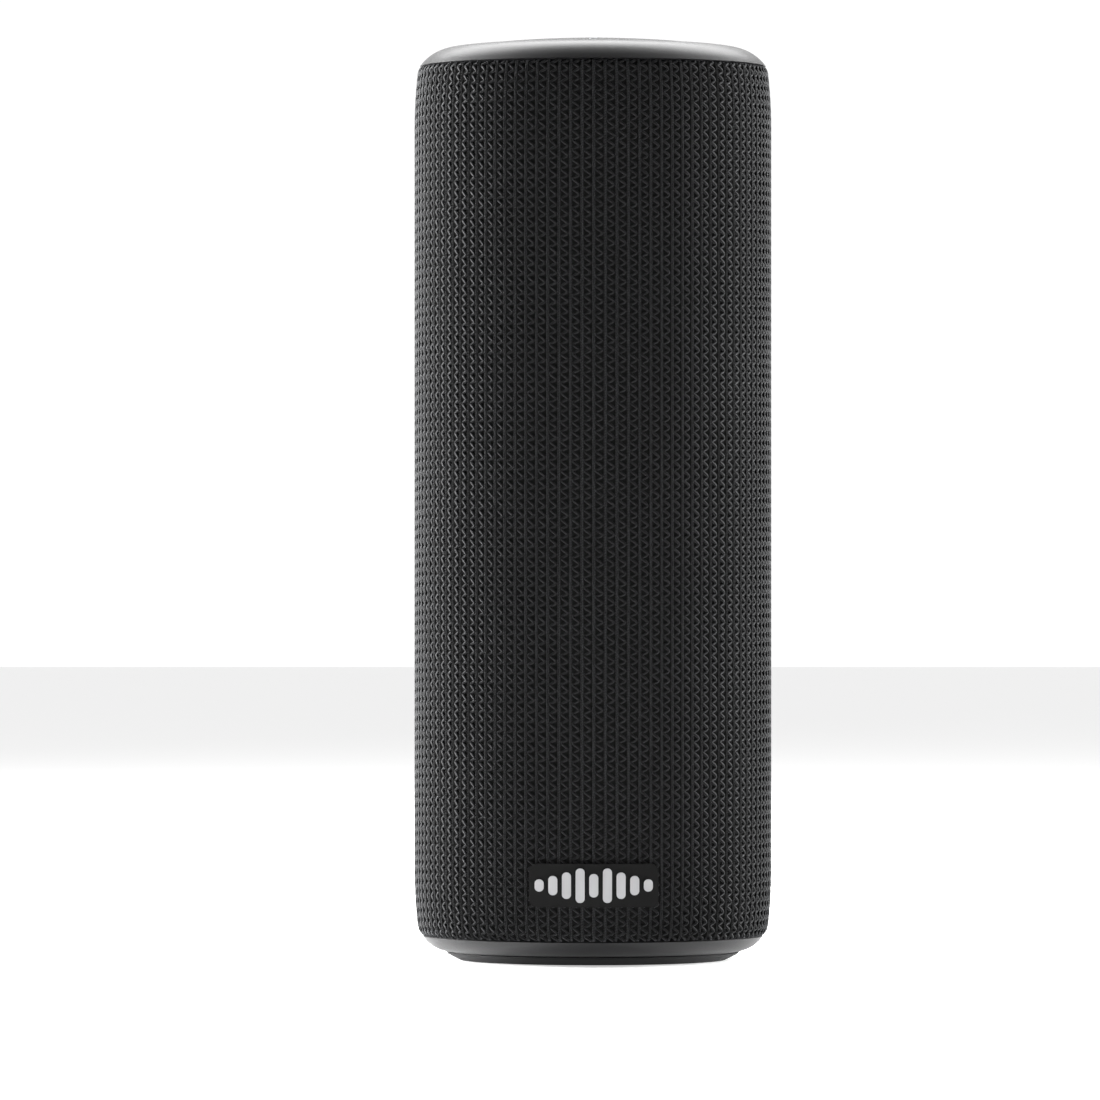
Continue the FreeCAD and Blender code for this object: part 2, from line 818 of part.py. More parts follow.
def chassis_half(side):
    """One half shell, front (-1) or rear (+1), with its baffles, bulkhead and bosses."""
    shell = rod(chassis_radius, 0, 0, chassis_bottom, chassis_top)
    shell = shell.common(half_space(side, chassis_bottom, chassis_top))
    cavity = rod(chassis_bore, 0, 0, chassis_floor, bulkhead_bottom)
    shell = shell.cut([pocket(side, driver_pocket, baffle_face), pocket(side, radiator_pocket, baffle_face)])
    walls = [pocket(side, span, baffle_back, chassis_wall) for span in (driver_pocket, radiator_pocket)]
    if side > 0:
        walls.append(port_pocket(chassis_wall))
    cavity = cavity.cut(walls)
    bay = rod(chassis_bore, 0, 0, bulkhead_top, chassis_top + 1)
    shell = shell.cut([cavity, bay])

    low, high = along(side, gasket_half, chassis_bore)
    posts = []
    for z in case_screw_levels:
        for x in (-case_screw_side, case_screw_side):
            posts.append(cross_rod(pilot(case_screw) + boss_wall + 0.2, x, z, low, high))
    for x, y in around(cap_screw_circle, (45, 135, 225, 315)):
        if y * side > 0:
            posts.append(rod(pilot(cap_screw) + boss_wall, x, y, bulkhead_top - 1, chassis_top))
    for x, y in around(board_screw_circle, board_screw_angles):
        if y * side > 0:
            posts.append(rod(pilot(small_screw) + 1.6, x, y, bulkhead_top - 1, main_board_bottom))
    for x, y in base_screw_places():
        if y * side > 0:
            posts.append(rod(pilot(case_screw) + boss_wall, x, y, chassis_bottom, chassis_floor + 6.8))
    low, high = along(side, baffle_back - 2.6, baffle_back + 1)
    for x, z in baffle_screw_places(side):
        posts.append(cross_rod(pilot(baffle_screw) + 1.4, x, z, low, high))
    if side > 0:
        for z in cradle_levels:
            for x in (-cradle_screw_side, cradle_screw_side):
                posts.append(cross_rod(pilot(small_screw) + 1.6, x, z, cradle_back + cradle_wall, chassis_bore - 8))
        for x in (-10.0, 10.0):
            posts.append(rod(pilot(small_screw) + 1.4, x, port_board_back + 3, chassis_floor - 1, port_board_bottom))
    inside = rod(chassis_radius - 0.4, 0, 0, chassis_bottom, chassis_top)
    posts = [post.common(inside) for post in posts]
    shell = joined([shell, *posts])
    return shell.cut(chassis_holes(side))


def chassis_holes(side):
    cuts = []
    low, high = along(side, baffle_back - 1, baffle_face + 1)
    cuts.append(cross_rod(driver_hole_radius, 0, driver_centre, low, high))
    opening = racetrack(radiator_opening, baffle_back - 1, baffle_face + 1)
    cuts.append(facing(opening, side, radiator_centre))
    low, high = along(side, baffle_face - case_screw["length"] / 2, baffle_face + 1)
    for x, z in baffle_screw_places(side):
        cuts.append(cross_rod(pilot(baffle_screw), x, z, low, high))
    for z in case_screw_levels:
        for x in (-case_screw_side, case_screw_side):
            if side > 0:
                cuts.append(cross_rod(clearance_hole, x, z, 0, 5))
                cuts.append(cross_rod(case_screw["head"] + 0.3, x, z, 4.0, body_radius))
            else:
                cuts.append(cross_rod(pilot(case_screw), x, z, 3.5 - case_screw["length"], 0))
    for x, y in around(cap_screw_circle, (45, 135, 225, 315)):
        if y * side > 0:
            cuts.append(rod(pilot(cap_screw), x, y, bulkhead_top + 8, chassis_top + 1))
    for x, y in around(board_screw_circle, board_screw_angles):
        if y * side > 0:
            cuts.append(rod(pilot(small_screw), x, y, bulkhead_top + 1.5, main_board_bottom + 1))
    for x, y in base_screw_places():
        if y * side > 0:
            cuts.append(rod(pilot(case_screw), x, y, chassis_bottom - 1, base_screw_seat + case_screw["length"] + 0.6))
    if side > 0:
        for z in cradle_levels:
            for x in (-cradle_screw_side, cradle_screw_side):
                back = cradle_back + cradle_wall
                cuts.append(cross_rod(pilot(small_screw), x, z, back - 1, back + small_screw["length"] - 1))
        for x in (-10.0, 10.0):
            cuts.append(rod(pilot(small_screw), x, port_board_back + 3, chassis_bottom + 0.8, port_board_bottom + 1))
        cuts.append(port_pocket(0.0))
        slot = slab(socket_width + 1.0, socket_height + 1.0, 1.6, baffle_back - 9, port_floor)
        cuts.append(facing(slot, 1, port_centre))
        cuts.append(rod(grommet_radius, *grommet_place, bulkhead_bottom - 1, bulkhead_top + 1))
    return cuts


def port_pocket(wall):
    """The pocket that the port's frame goes into, or with a wall the part of the cavity it takes."""
    half_width = port_width / 2 + port_gap + wall
    half_height = port_height / 2 + port_gap + wall
    floor = port_pocket_floor - wall
    return block(-half_width, half_width, floor, body_diameter, port_centre - half_height, port_centre + half_height)


def chassis_gasket():
    """A flat gasket between the two half shells, round the sound chamber."""
    out = chassis_radius - gasket_inset
    inside = chassis_bore + gasket_inset
    low = chassis_bottom + gasket_inset
    high = bulkhead_top - gasket_inset
    frame = block(-out, out, -gasket_half, gasket_half, low, high)
    floor = chassis_floor - gasket_inset
    roof = bulkhead_bottom + gasket_inset
    return frame.cut(block(-inside, inside, -gasket_half, gasket_half, floor, roof))


def chassis_screws():
    places = [(x, z) for z in case_screw_levels for x in (-case_screw_side, case_screw_side)]
    return Part.makeCompound(level_screws(case_screw, places, 4.0, 1))


# ================================================================ drivers
def driver_parts():
    """One driver's pieces, lying down: outwards up, the baffle's face at zero."""
    plate_top = driver_plate_thickness
    rim = cone_rim_radius
    bottom = motor_top + 1.2
    basket = joined([
        slab(driver_plate, driver_plate, driver_plate_corner, 0.0, plate_top),
        turned(
            (driver_basket_radius, plate_top / 2), (driver_basket_radius, -2.0), (14.4, motor_top),
            (coil_radius + 1.1, motor_top), (coil_radius + 1.1, bottom), (13.2, bottom),
            (driver_basket_radius - 1.2, -2.0), (driver_basket_radius - 1.2, plate_top / 2),
        ),
    ])
    lugs = [block(x - 1.2, x + 1.2, -1.5, 1.5, terminal_level - 1.5, terminal_level + 1.5)
            for x in (1.3 - terminal_reach, terminal_reach - 1.3)]
    basket = joined([basket, *lugs])
    window = slab(9.0, 5.0, 1.0, 0.0, 30.0)
    window.rotate(Vector(0, 0, 0), Vector(1, 0, 0), 90)
    window.translate(Vector(0, 0, -4.8))
    cuts = [rod(driver_basket_radius - 1.2, 0, 0, -2.0, plate_top)]
    for number in range(4):
        cut = window.copy()
        cut.rotate(Vector(0, 0, 0), Vector(0, 0, 1), 45 + 90 * number)
        cuts.append(cut)
    for x in (-driver_screw_place, driver_screw_place):
        for y in (-driver_screw_place, driver_screw_place):
            cuts.append(rod(baffle_screw["shank"] + 0.2, x, y, -1, plate_top + 1))
    basket = basket.cut(cuts)

    yoke_inner = coil_radius + winding + gap_clearance
    yoke_outer = yoke_inner + yoke_wall
    pole_radius = coil_radius - coil_wall - gap_clearance
    magnet_bottom = motor_top - 1.0 - pole_thickness - magnet_thickness
    yoke = rod(yoke_outer, 0, 0, magnet_bottom - yoke_floor, motor_top)
    yoke = yoke.cut(rod(yoke_inner, 0, 0, magnet_bottom, motor_top))
    magnet = rod(pole_radius - 0.4, 0, 0, magnet_bottom, magnet_bottom + magnet_thickness)
    pole = rod(pole_radius, 0, 0, magnet_bottom + magnet_thickness, motor_top - 1.0)

    coil_bottom = magnet_bottom + cone_travel + 0.5
    former_top = -3.2
    coil = joined([
        ring(coil_radius, coil_radius - coil_wall, coil_bottom, former_top),
        ring(coil_radius + winding, coil_radius - 0.05, coil_bottom, coil_bottom + winding_height),
    ])
    neck = coil_radius + 0.05
    cone = turned(
        (neck, -3.9), (neck + 0.6, -3.9), (neck + 0.6, -3.3), (rim - 1.0, plate_top - 0.4),
        (rim, plate_top - 0.4), (rim, plate_top), (rim - 1.3, plate_top), (neck, -2.8),
    )
    dome_edge = neck + 0.7
    dome_base = -2.8 + 0.7 * (plate_top + 2.8) / (rim - 1.3 - neck) + 0.12
    dome_radius = (dome_edge ** 2 + dome_rise ** 2) / (2 * dome_rise)
    dome_centre = Vector(0, 0, dome_base + dome_rise - dome_radius)
    dust_cap = Part.makeSphere(dome_radius, dome_centre)
    dust_cap = dust_cap.cut(Part.makeSphere(dome_radius - dome_wall, dome_centre))
    dust_cap = dust_cap.common(rod(dome_edge, 0, 0, dome_base, dome_base + dome_rise + 1))
    roll = rim + surround_roll
    skin = surround_thickness
    surround = turned(
        (rim - 1.0, plate_top), (rim + skin, plate_top),
        ((roll, plate_top + surround_roll - skin), (rim + 2 * surround_roll - skin, plate_top)),
        (rim + 2 * surround_roll + 1.3, plate_top), (rim + 2 * surround_roll + 1.3, plate_top + skin),
        (rim + 2 * surround_roll, plate_top + skin),
        ((roll, plate_top + surround_roll), (rim, plate_top + skin)),
        (rim - 1.0, plate_top + skin),
    )
    spider = turned(
        (neck, -7.6), (10.4, -7.2), (11.0, -8.0), (11.7, -7.2), (12.3, bottom + 0.05), (13.1, bottom + 0.05),
        (13.1, bottom + 0.35), (12.45, bottom + 0.35), (11.7, -6.8), (11.0, -7.6), (10.4, -6.8), (neck, -7.2),
    )
    return {
        "driver_basket": basket, "driver_yoke": yoke, "driver_magnet": magnet, "driver_pole_plate": pole,
        "voice_coil": coil, "cone": cone, "dust_cap": dust_cap, "surround": surround, "spider": spider,
    }


def racetrack_section(points):
    """A section swept round the radiators' racetrack: two turned ends and two straight sides."""
    section = Part.Face(section_wire(points))
    pieces = []
    for turn, shift in ((0, radiator_straight), (180, -radiator_straight)):
        end = section.revolve(Vector(0, 0, 0), Vector(0, 0, 1), 180)
        end.rotate(Vector(0, 0, 0), Vector(0, 0, 1), turn)
        end.translate(Vector(0, shift, 0))
        pieces.append(end)
    for turn in (0, 180):
        side = section.copy()
        side.translate(Vector(0, -radiator_straight, 0))
        side = side.extrude(Vector(0, 2 * radiator_straight, 0))
        side.rotate(Vector(0, 0, 0), Vector(0, 0, 1), turn)
        pieces.append(side)
    return joined(pieces)


def section_wire(points):
    """A closed wire in the XZ plane; an item of two points is an arc."""
    edges = []
    here = points[0]
    for step in (*points[1:], points[0]):
        if isinstance(step[0], tuple):
            edges.append(Part.Arc(spot(here), spot(step[0]), spot(step[1])).toShape())
            here = step[1]
        else:
            edges.append(Part.makeLine(spot(here), spot(step)))
            here = step
    return Part.Wire(edges)


def radiator_parts():
    """One passive radiator's pieces, lying down: outwards up, the baffle's face at zero."""
    top = driver_plate_thickness
    frame = slab(radiator_width, radiator_height, radiator_corner, 0.0, top)
    cuts = [racetrack(radiator_opening, -1.0, top + 1.0)]
    for x in (-driver_screw_place, driver_screw_place):
        for y in (-1, 1):
            level = y * (radiator_height / 2 - 3.3)
            cuts.append(rod(baffle_screw["shank"] + 0.2, x, level, -1, top + 1))
    frame = frame.cut(cuts)
    inner = radiator_opening - 2 * radiator_roll
    skin = surround_thickness
    middle = inner + radiator_roll
    surround = racetrack_section([
        (inner - 1.0, top), (inner + skin, top),
        ((middle, top + radiator_roll - skin), (radiator_opening - skin, top)),
        (radiator_opening + 1.3, top), (radiator_opening + 1.3, top + skin),
        (radiator_opening, top + skin),
        ((middle, top + radiator_roll), (inner, top + skin)),
        (inner - 1.0, top + skin),
    ])
    plate = racetrack(radiator_plate_half, top - radiator_plate_thickness, top)
    weight = racetrack(
        radiator_weight_half,
        top - radiator_plate_thickness - radiator_weight_depth,
        top - radiator_plate_thickness / 2,
    )
    return {"radiator_frame": frame, "radiator_surround": surround, "radiator_plate": joined([plate, weight])}


def on_baffle(shape, side, height):
    """A piece made lying down, moved out to one face's baffle."""
    lifted = shape.copy()
    lifted.translate(Vector(0, 0, baffle_face))
    return facing(lifted, side, height)


def baffle_screws():
    screws = []
    for side in (-1, 1):
        seat = side * (baffle_face + driver_plate_thickness)
        screws += level_screws(baffle_screw, baffle_screw_places(side), seat, side)
    return Part.makeCompound(screws)


# ================================================================ battery
def battery_cells():
    bottom = battery_bottom + cradle_end + 1.0
    centre = cell_radius + cell_gap / 2
    cells = []
    for x in (-centre, centre):
        can = rod(cell_radius, x, 0, bottom, bottom + cell_length - 0.8)
        button = rod(3.0, x, 0, bottom + cell_length - 0.9, bottom + cell_length)
        cells.append(joined([can, button]))
    return Part.makeCompound(cells)


def cradle_screw_places():
    return [(x, z) for z in cradle_levels for x in (-cradle_screw_side, cradle_screw_side)]


def battery_cradle():
    back = cradle_back + cradle_wall
    wide = cradle_half_width
    pieces = [
        block(-wide, wide, cradle_back, back, battery_bottom, battery_top),
        block(-wide, wide, -cell_radius, back, battery_bottom, battery_bottom + cradle_end),
        block(-wide, wide, -cell_radius, back, battery_top - cradle_end, battery_top),
    ]
    tab_end = cradle_screw_side + small_screw["head"] + 0.8
    for z in cradle_levels:
        pieces.append(block(-tab_end, tab_end, cradle_back, back, z - cradle_tab / 2, z + cradle_tab / 2))
    hole = small_screw["shank"] + 0.15
    cuts = [cross_rod(hole, x, z, cradle_back - 1, back + 1) for x, z in cradle_screw_places()]
    return joined(pieces).cut(cuts)


def battery_board():
    """The protection board on top of the cradle, with its two plugs."""
    board = block(-15, 15, -8, 8, battery_board_bottom, battery_board_top)
    plugs = [block(x - 2.8, x + 2.8, 1.5, 7.0, battery_board_top, battery_board_top + connector_height)
             for x in (-plug_place, plug_place)]
    chip = block(-3.0, 3.0, -6.0, -2.0, battery_board_top, battery_board_top + 1.0)
    return joined([board, *plugs, chip])


# ================================================================ electronics
def main_board():
    board = rod(main_board_radius, 0, 0, main_board_bottom, main_board_top)
    cuts = [rod(pilot(cap_screw) + boss_wall + 0.6, x, y, main_board_bottom, main_board_top)
            for x, y in cap_screw_places()]
    cuts += [rod(small_screw["shank"] + 0.15, x, y, main_board_bottom, main_board_top)
             for x, y in around(board_screw_circle, board_screw_angles)]
    return board.cut(cuts)


def on_board(width, depth, height, x, y):
    return block(x - width / 2, x + width / 2, y - depth / 2, y + depth / 2, main_board_top, main_board_top + height)


def main_board_parts():
    """The radio module, amplifier, processor, coils and capacitors."""
    parts = [on_board(12, 15, 2.4, -8, -8), on_board(8, 8, 1.0, 4, -6), on_board(5, 5, 0.9, -2, 3)]
    parts += [on_board(6, 6, 3.2, x, y) for x, y in ((14, -5), (13.5, -11.2), (5.5, -15), (-13, 4))]
    for x, y in ((-20, 2), (-20, -6), (22, -1), (22, 7)):
        parts.append(rod(3.15, x, y, main_board_top, main_board_top + 7.7))
    return Part.makeCompound(parts)


def board_connectors():
    """Plug housings: under the main board for the leads, and one at each end of the ribbon."""
    x, y = grommet_place
    under = block(x - 4, x + 4, y - 3.2, y + 4.2, main_board_bottom - connector_height, main_board_bottom)
    low = block(-5, 5, 10.5, 13.5, main_board_top, main_board_top + connector_height)
    high = block(-5, 5, 10.5, 13.5, button_board_bottom - connector_height, button_board_bottom)
    return Part.makeCompound([under, low, high])


def button_ribbon():
    return block(-4, 4, 11.85, 12.15, main_board_top + connector_height, button_board_bottom - connector_height)


def board_screws():
    """The same small screw holds the main, button and port boards and the battery's cradle."""
    main = upright_screws(small_screw, around(board_screw_circle, board_screw_angles), main_board_top)
    button = upright_screws(small_screw, button_screw_places(), button_board_bottom, downwards=False)
    port = upright_screws(small_screw, [(x, port_board_back + 3) for x in (-10.0, 10.0)], port_board_top)
    cradle = level_screws(small_screw, cradle_screw_places(), cradle_back, -1)
    return Part.makeCompound([*main, *button, *port, *cradle])


# ================================================================ charging port
def port_frame():
    """The frame that lines the port: a bezel over the sleeve's edge, the door's seat and the plug's recess."""
    outer = body_radius + bezel_rise
    body = slab(port_width, port_height, port_corner, port_pocket_floor + 0.1, outer + 5)
    length = 4 * port_height
    barrel = Part.makeCylinder(outer, length, Vector(0, -length / 2, 0), Vector(0, 1, 0))
    body = body.common(barrel)
    wide = port_width + 2 * bezel_width
    high = port_height + 2 * bezel_width
    bezel = shell_patch(wide, high, port_corner + bezel_width, body_radius, outer)
    mouth = slab(mouth_width, mouth_height, 1.2, 0, outer + 5)
    mouth = mouth.cut(Part.makeCylinder(door_inner, length, Vector(0, -length / 2, 0), Vector(0, 1, 0)))
    recess = slab(plug_recess_width, plug_recess_height, 1.6, port_floor, outer + 5)
    slot_width_all = socket_width + 2 * socket_clearance
    slot_height_all = socket_height + 2 * socket_clearance
    slot = slab(slot_width_all, slot_height_all, slot_height_all / 2 - 0.05, port_pocket_floor - 1, port_floor + 1)
    groove_start = Vector(-door_hinge_inset, -mouth_height / 2, door_hinge_y)
    groove = Part.makeCylinder(door_groove_radius, mouth_height, groove_start, Vector(0, 1, 0))
    frame = joined([body, bezel]).cut([mouth, recess, slot, groove])
    half = mouth_height / 2
    pins = [door_pin(door_pin_radius, half - door_clearance - door_pin_depth, half + 0.2, end) for end in (-1, 1)]
    return facing(joined([frame, *pins]), 1, port_centre)


def door_pin(radius, near, far, end):
    """A pin on the door's hinge line, at its lower (-1) or upper (+1) end, lying down."""
    low = min(end * near, end * far)
    return Part.makeCylinder(radius, far - near, Vector(-door_hinge_inset, low, door_hinge_y), Vector(0, 1, 0))


def port_flap():
    """The soft door: a curved cover with a sealing lip behind it and a round bead on its hinge line."""
    left = -door_hinge_inset
    right = mouth_width / 2 - door_clearance
    width = right - left
    height = mouth_height - 2 * door_clearance
    cover = slab(width, height, 0.9, 0, door_outer + 5)
    cover.translate(Vector((left + right) / 2, 0, 0))
    length = 4 * height
    skin = Part.makeCylinder(door_outer, length, Vector(0, -length / 2, 0), Vector(0, 1, 0))
    skin = skin.cut(Part.makeCylinder(door_inner, length, Vector(0, -length / 2, 0), Vector(0, 1, 0)))
    cover = cover.common(skin)
    bead = Part.makeCylinder(door_bead_radius, height, Vector(left, -height / 2, door_hinge_y), Vector(0, 1, 0))
    lip_width = plug_recess_width - 2 * door_clearance
    lip_height = plug_recess_height - 2 * door_clearance
    lip = slab(lip_width, lip_height, 1.3, door_inner - lip_depth, door_outer)
    hollow = slab(lip_width - 2 * lip_wall, lip_height - 2 * lip_wall, 0.6, 0, door_outer)
    inside = Part.makeCylinder(door_inner + 0.1, length, Vector(0, -length / 2, 0), Vector(0, 1, 0))
    lip = lip.cut(hollow).common(inside)
    grip = Part.makeCylinder(0.55, height * 0.6, Vector(0, -height * 0.3, door_outer - 0.1), Vector(0, 1, 0))
    grip.rotate(Vector(0, 0, 0), Vector(0, 1, 0), 18)
    near = height / 2 - door_pin_depth - 0.1
    holes = [door_pin(door_pin_radius + door_pin_gap, near, height, end) for end in (-1, 1)]
    return facing(joined([cover, bead, lip, grip]).cut(holes), 1, port_centre)


def port_board():
    board = block(-13, 13, port_board_back, port_pocket_floor - chassis_wall - 0.3, port_board_bottom, port_board_top)
    hole = small_screw["shank"] + 0.15
    cuts = [rod(hole, x, port_board_back + 3, port_board_bottom, port_board_top) for x in (-10.0, 10.0)]
    return board.cut(cuts)


def usb_socket():
    """A charging socket: a steel shell open at its mouth, with a tongue in the middle."""
    corner = socket_height / 2 - 0.05
    shell = slab(socket_width, socket_height, corner, socket_back, socket_back + socket_length)
    hollow = slab(
        socket_width - 2 * socket_shell, socket_height - 2 * socket_shell, corner - socket_shell,
        socket_back + 1.0, socket_back + socket_length + 1,
    )
    tongue = slab(6.7, tongue_thickness, 0.2, socket_back + 0.5, socket_back + socket_length - 0.9)
    return facing(joined([shell.cut(hollow), tongue]), 1, port_centre)


# ================================================================ leads
def lead_grommet():
    """The rubber bush that seals the leads where they pass the bulkhead."""
    x, y = grommet_place
    bush = joined([
        rod(grommet_radius - 0.05, x, y, bulkhead_bottom - 0.5, bulkhead_top + 0.5),
        rod(grommet_flange, x, y, bulkhead_bottom - 1.2, bulkhead_bottom - 0.02),
        rod(grommet_flange, x, y, bulkhead_top + 0.02, bulkhead_top + 1.2),
    ])
    low, high = bulkhead_bottom - 2, bulkhead_top + 2
    holes = [rod(speaker_lead_radius + 0.05, x + shift, y - 1.2, low, high) for shift in (-1.7, 1.7)]
    holes.append(rod(battery_lead_radius + 0.05, x, y + 2.0, low, high))
    return bush.cut(holes)


def speaker_leads():
    x, y = grommet_place
    top = main_board_bottom - connector_height
    start = baffle_face + terminal_level
    first = terminal_reach + 0.02
    front_x, rear_x, lane = x - 1.7, x + 1.7, y - 1.2
    level = driver_centre
    front = [
        (first, -start, level), (20.5, -start, level), (21.5, -start + 13, level + 8),
        (front_x, lane, level + 19), (front_x, lane, top),
    ]
    rear = [
        (first, start, level), (21.0, start, level), (22.5, start - 6.0, level + 9),
        (rear_x, lane, level + 18), (rear_x, lane, top),
    ]
    return Part.makeCompound([lead(front, speaker_lead_radius), lead(rear, speaker_lead_radius)])


def power_leads():
    """The charging lead behind the cradle, and the battery's lead up to the main board."""
    x, y = grommet_place
    behind = cradle_back + cradle_wall + 2.4
    lane = -charge_lane
    charge = [(lane, behind, port_board_top), (lane, behind, lead_level), (lane, 7.0, lead_level)]
    supply = [
        (plug_place, 7.0, lead_level), (plug_place, 12.0, lead_level), (16.0, 12.5, lead_level + 8.0),
        (x, y + 2.0, lead_level + 18.0), (x, y + 2.0, main_board_bottom - connector_height),
    ]
    return Part.makeCompound([lead(charge, speaker_lead_radius), lead(supply, battery_lead_radius)])


# ================================================================ export
def all_parts():
    parts = {
        "knit_sleeve": knit_sleeve(), "grille_tube": grille_tube(),
        "badge_plate": badge_plate(), "badge_bars": badge_bars(),
        "base_cap": base_cap(), "foot_ring": foot_ring(), "base_seal": base_seal(), "base_screws": base_screws(),
        "top_cap": top_cap(), "control_pad": control_pad(), "status_light_guide": status_light_guide(),
        "button_board": button_board(), "tact_switches": tact_switches(),
        "top_seal": top_seal(), "top_cap_screws": top_cap_screws(),
        "chassis_front": chassis_half(-1), "chassis_rear": chassis_half(1),
        "chassis_gasket": chassis_gasket(), "chassis_screws": chassis_screws(),
        "baffle_screws": baffle_screws(),
        "battery_cells": battery_cells(), "battery_cradle": battery_cradle(), "battery_board": battery_board(),
        "main_board": main_board(), "main_board_parts": main_board_parts(),
        "board_connectors": board_connectors(), "button_ribbon": button_ribbon(), "board_screws": board_screws(),
        "port_frame": port_frame(), "port_flap": port_flap(), "port_board": port_board(), "usb_socket": usb_socket(),
        "lead_grommet": lead_grommet(), "speaker_leads": speaker_leads(), "power_leads": power_leads(),
    }
    for name, (radius, place) in key_places().items():
        parts[name] = key(name, radius, place)

    driver = driver_parts()
    radiator = radiator_parts()
    for face, side in (("front", -1), ("rear", 1)):
        for name in ("driver_basket", "voice_coil", "cone", "dust_cap", "surround", "spider"):
            parts[f"{face}_{name}"] = on_baffle(driver[name], side, driver_centre)
        for name in ("radiator_surround", "radiator_plate"):
            parts[f"{face}_{name}"] = on_baffle(radiator[name], side, radiator_centre)
    for name in ("driver_yoke", "driver_magnet", "driver_pole_plate"):
        pair = [on_baffle(driver[name], side, driver_centre) for side in (-1, 1)]
        parts[f"{name}s"] = Part.makeCompound(pair)
    frames = [on_baffle(radiator["radiator_frame"], side, radiator_centre) for side in (-1, 1)]
    parts["radiator_frames"] = Part.makeCompound(frames)
    return parts


def main():
    os.makedirs("parts", exist_ok=True)
    parts = all_parts()
    for name, shape in parts.items():
        if not shape.isValid() or not shape.Solids:
            raise ValueError(f"{name} is not a valid solid")
        shape.exportStep(f"parts/{name}.step")
    print(len(parts), "parts written")
    hinge = (door_hinge_inset, door_hinge_y, port_centre)
    print("door hinge at", [round(value, 3) for value in hinge])
    print("driver centre", round(driver_centre, 3), "radiator centre", round(radiator_centre, 3))


main()
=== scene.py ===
import math

import bpy
import numpy as np
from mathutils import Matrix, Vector


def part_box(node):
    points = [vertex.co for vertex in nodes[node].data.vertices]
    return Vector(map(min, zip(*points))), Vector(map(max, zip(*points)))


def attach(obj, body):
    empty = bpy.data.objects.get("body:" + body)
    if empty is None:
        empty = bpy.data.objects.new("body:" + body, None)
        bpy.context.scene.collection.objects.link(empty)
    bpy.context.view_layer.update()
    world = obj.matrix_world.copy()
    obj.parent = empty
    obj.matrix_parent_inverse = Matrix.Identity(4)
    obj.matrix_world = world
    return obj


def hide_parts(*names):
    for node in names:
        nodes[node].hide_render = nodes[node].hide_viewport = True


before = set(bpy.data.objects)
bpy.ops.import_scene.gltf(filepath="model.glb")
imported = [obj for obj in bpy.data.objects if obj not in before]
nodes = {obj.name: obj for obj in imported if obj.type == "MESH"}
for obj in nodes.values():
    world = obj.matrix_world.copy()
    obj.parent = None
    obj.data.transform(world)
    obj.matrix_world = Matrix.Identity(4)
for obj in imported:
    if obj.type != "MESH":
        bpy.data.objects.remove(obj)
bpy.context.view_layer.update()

MM = 0.001
BODY = "speaker_body"

# The sleeve's side from hem to hem: a curl, a long flank, a straight, a flank and a curl.
sleeve_low, sleeve_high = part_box("knit_sleeve")
RADIUS = sleeve_high.x
HEM_LOW = sleeve_low.z
HEM_HIGH = sleeve_high.z
BASE_INSET = 1.6 * MM
TOP_INSET = 1.05 * MM
FLANK_RADIUS = 100 * MM
FLANK_TURN = math.radians(6.3)
CURL_RADIUS = 3.3 * MM
PROFILE_POINTS = 6001

# The sphere that the cap's crown and the keys' signs follow.
CROWN_RADIUS = 217 * MM

# The knit. Yarns are given by their radius, and places across a column as shares of its width.
COLUMNS = 98
ROWS = 91
COLUMNS_PER_PANEL = 7
RIB_YARN = 0.13 * MM
RIB_OFFSET = 0.064
RIB_WAVER = 0.010
RIB_RINGS = 3
RIB_SIDES = 4
LOOP_YARN = 0.27 * MM
LOOP_MIDDLE = 0.46
LOOP_REACH = 0.26
LOOP_SNAP = 0.3
LOOP_RINGS = 8
LOOP_SIDES = 5
UNDER_RIB = 0.22 * MM
UNDER_RIB_LAG = 1.2
LINING_DEPTH = 0.66 * MM
LINING_THICKNESS = 0.2 * MM
LINING_LEVELS = 121
BEZEL_OVERLAP = 0.7 * MM
STRIP_FILL = 0.92


# ---------------------------------------------------------------- shader building
# Where a Mix node keeps its colour sockets, whose names it also gives to its other kinds.
MIX_SHARE, MIX_LOW, MIX_HIGH = 0, 6, 7
MIX_RESULT = 2


class Socket:
    """A node's output. Arithmetic on it adds Math nodes."""

    def __init__(self, shader, output):
        self.shader = shader
        self.output = output

    def math(self, operation, *others):
        values = dict(enumerate((self, *others)))
        return self.shader.add("ShaderNodeMath", {"operation": operation}, values)

    def __add__(self, other):
        return self.math("ADD", other)

    def __radd__(self, other):
        return self.math("ADD", other)

    def __sub__(self, other):
        return self.math("SUBTRACT", other)

    def __rsub__(self, other):
        settings = {"operation": "SUBTRACT"}
        return self.shader.add("ShaderNodeMath", settings, {0: other, 1: self})

    def __mul__(self, other):
        return self.math("MULTIPLY", other)

    def __rmul__(self, other):
        return self.math("MULTIPLY", other)

    def __gt__(self, other):
        return self.math("GREATER_THAN", other)

    def __lt__(self, other):
        return self.math("LESS_THAN", other)

    def smooth(self, low, high):
        """0 below low, 1 above high, and eased between them."""
        settings = {"interpolation_type": "SMOOTHSTEP"}
        values = {"Value": self, "From Min": low, "From Max": high}
        return self.shader.add("ShaderNodeMapRange", settings, values)


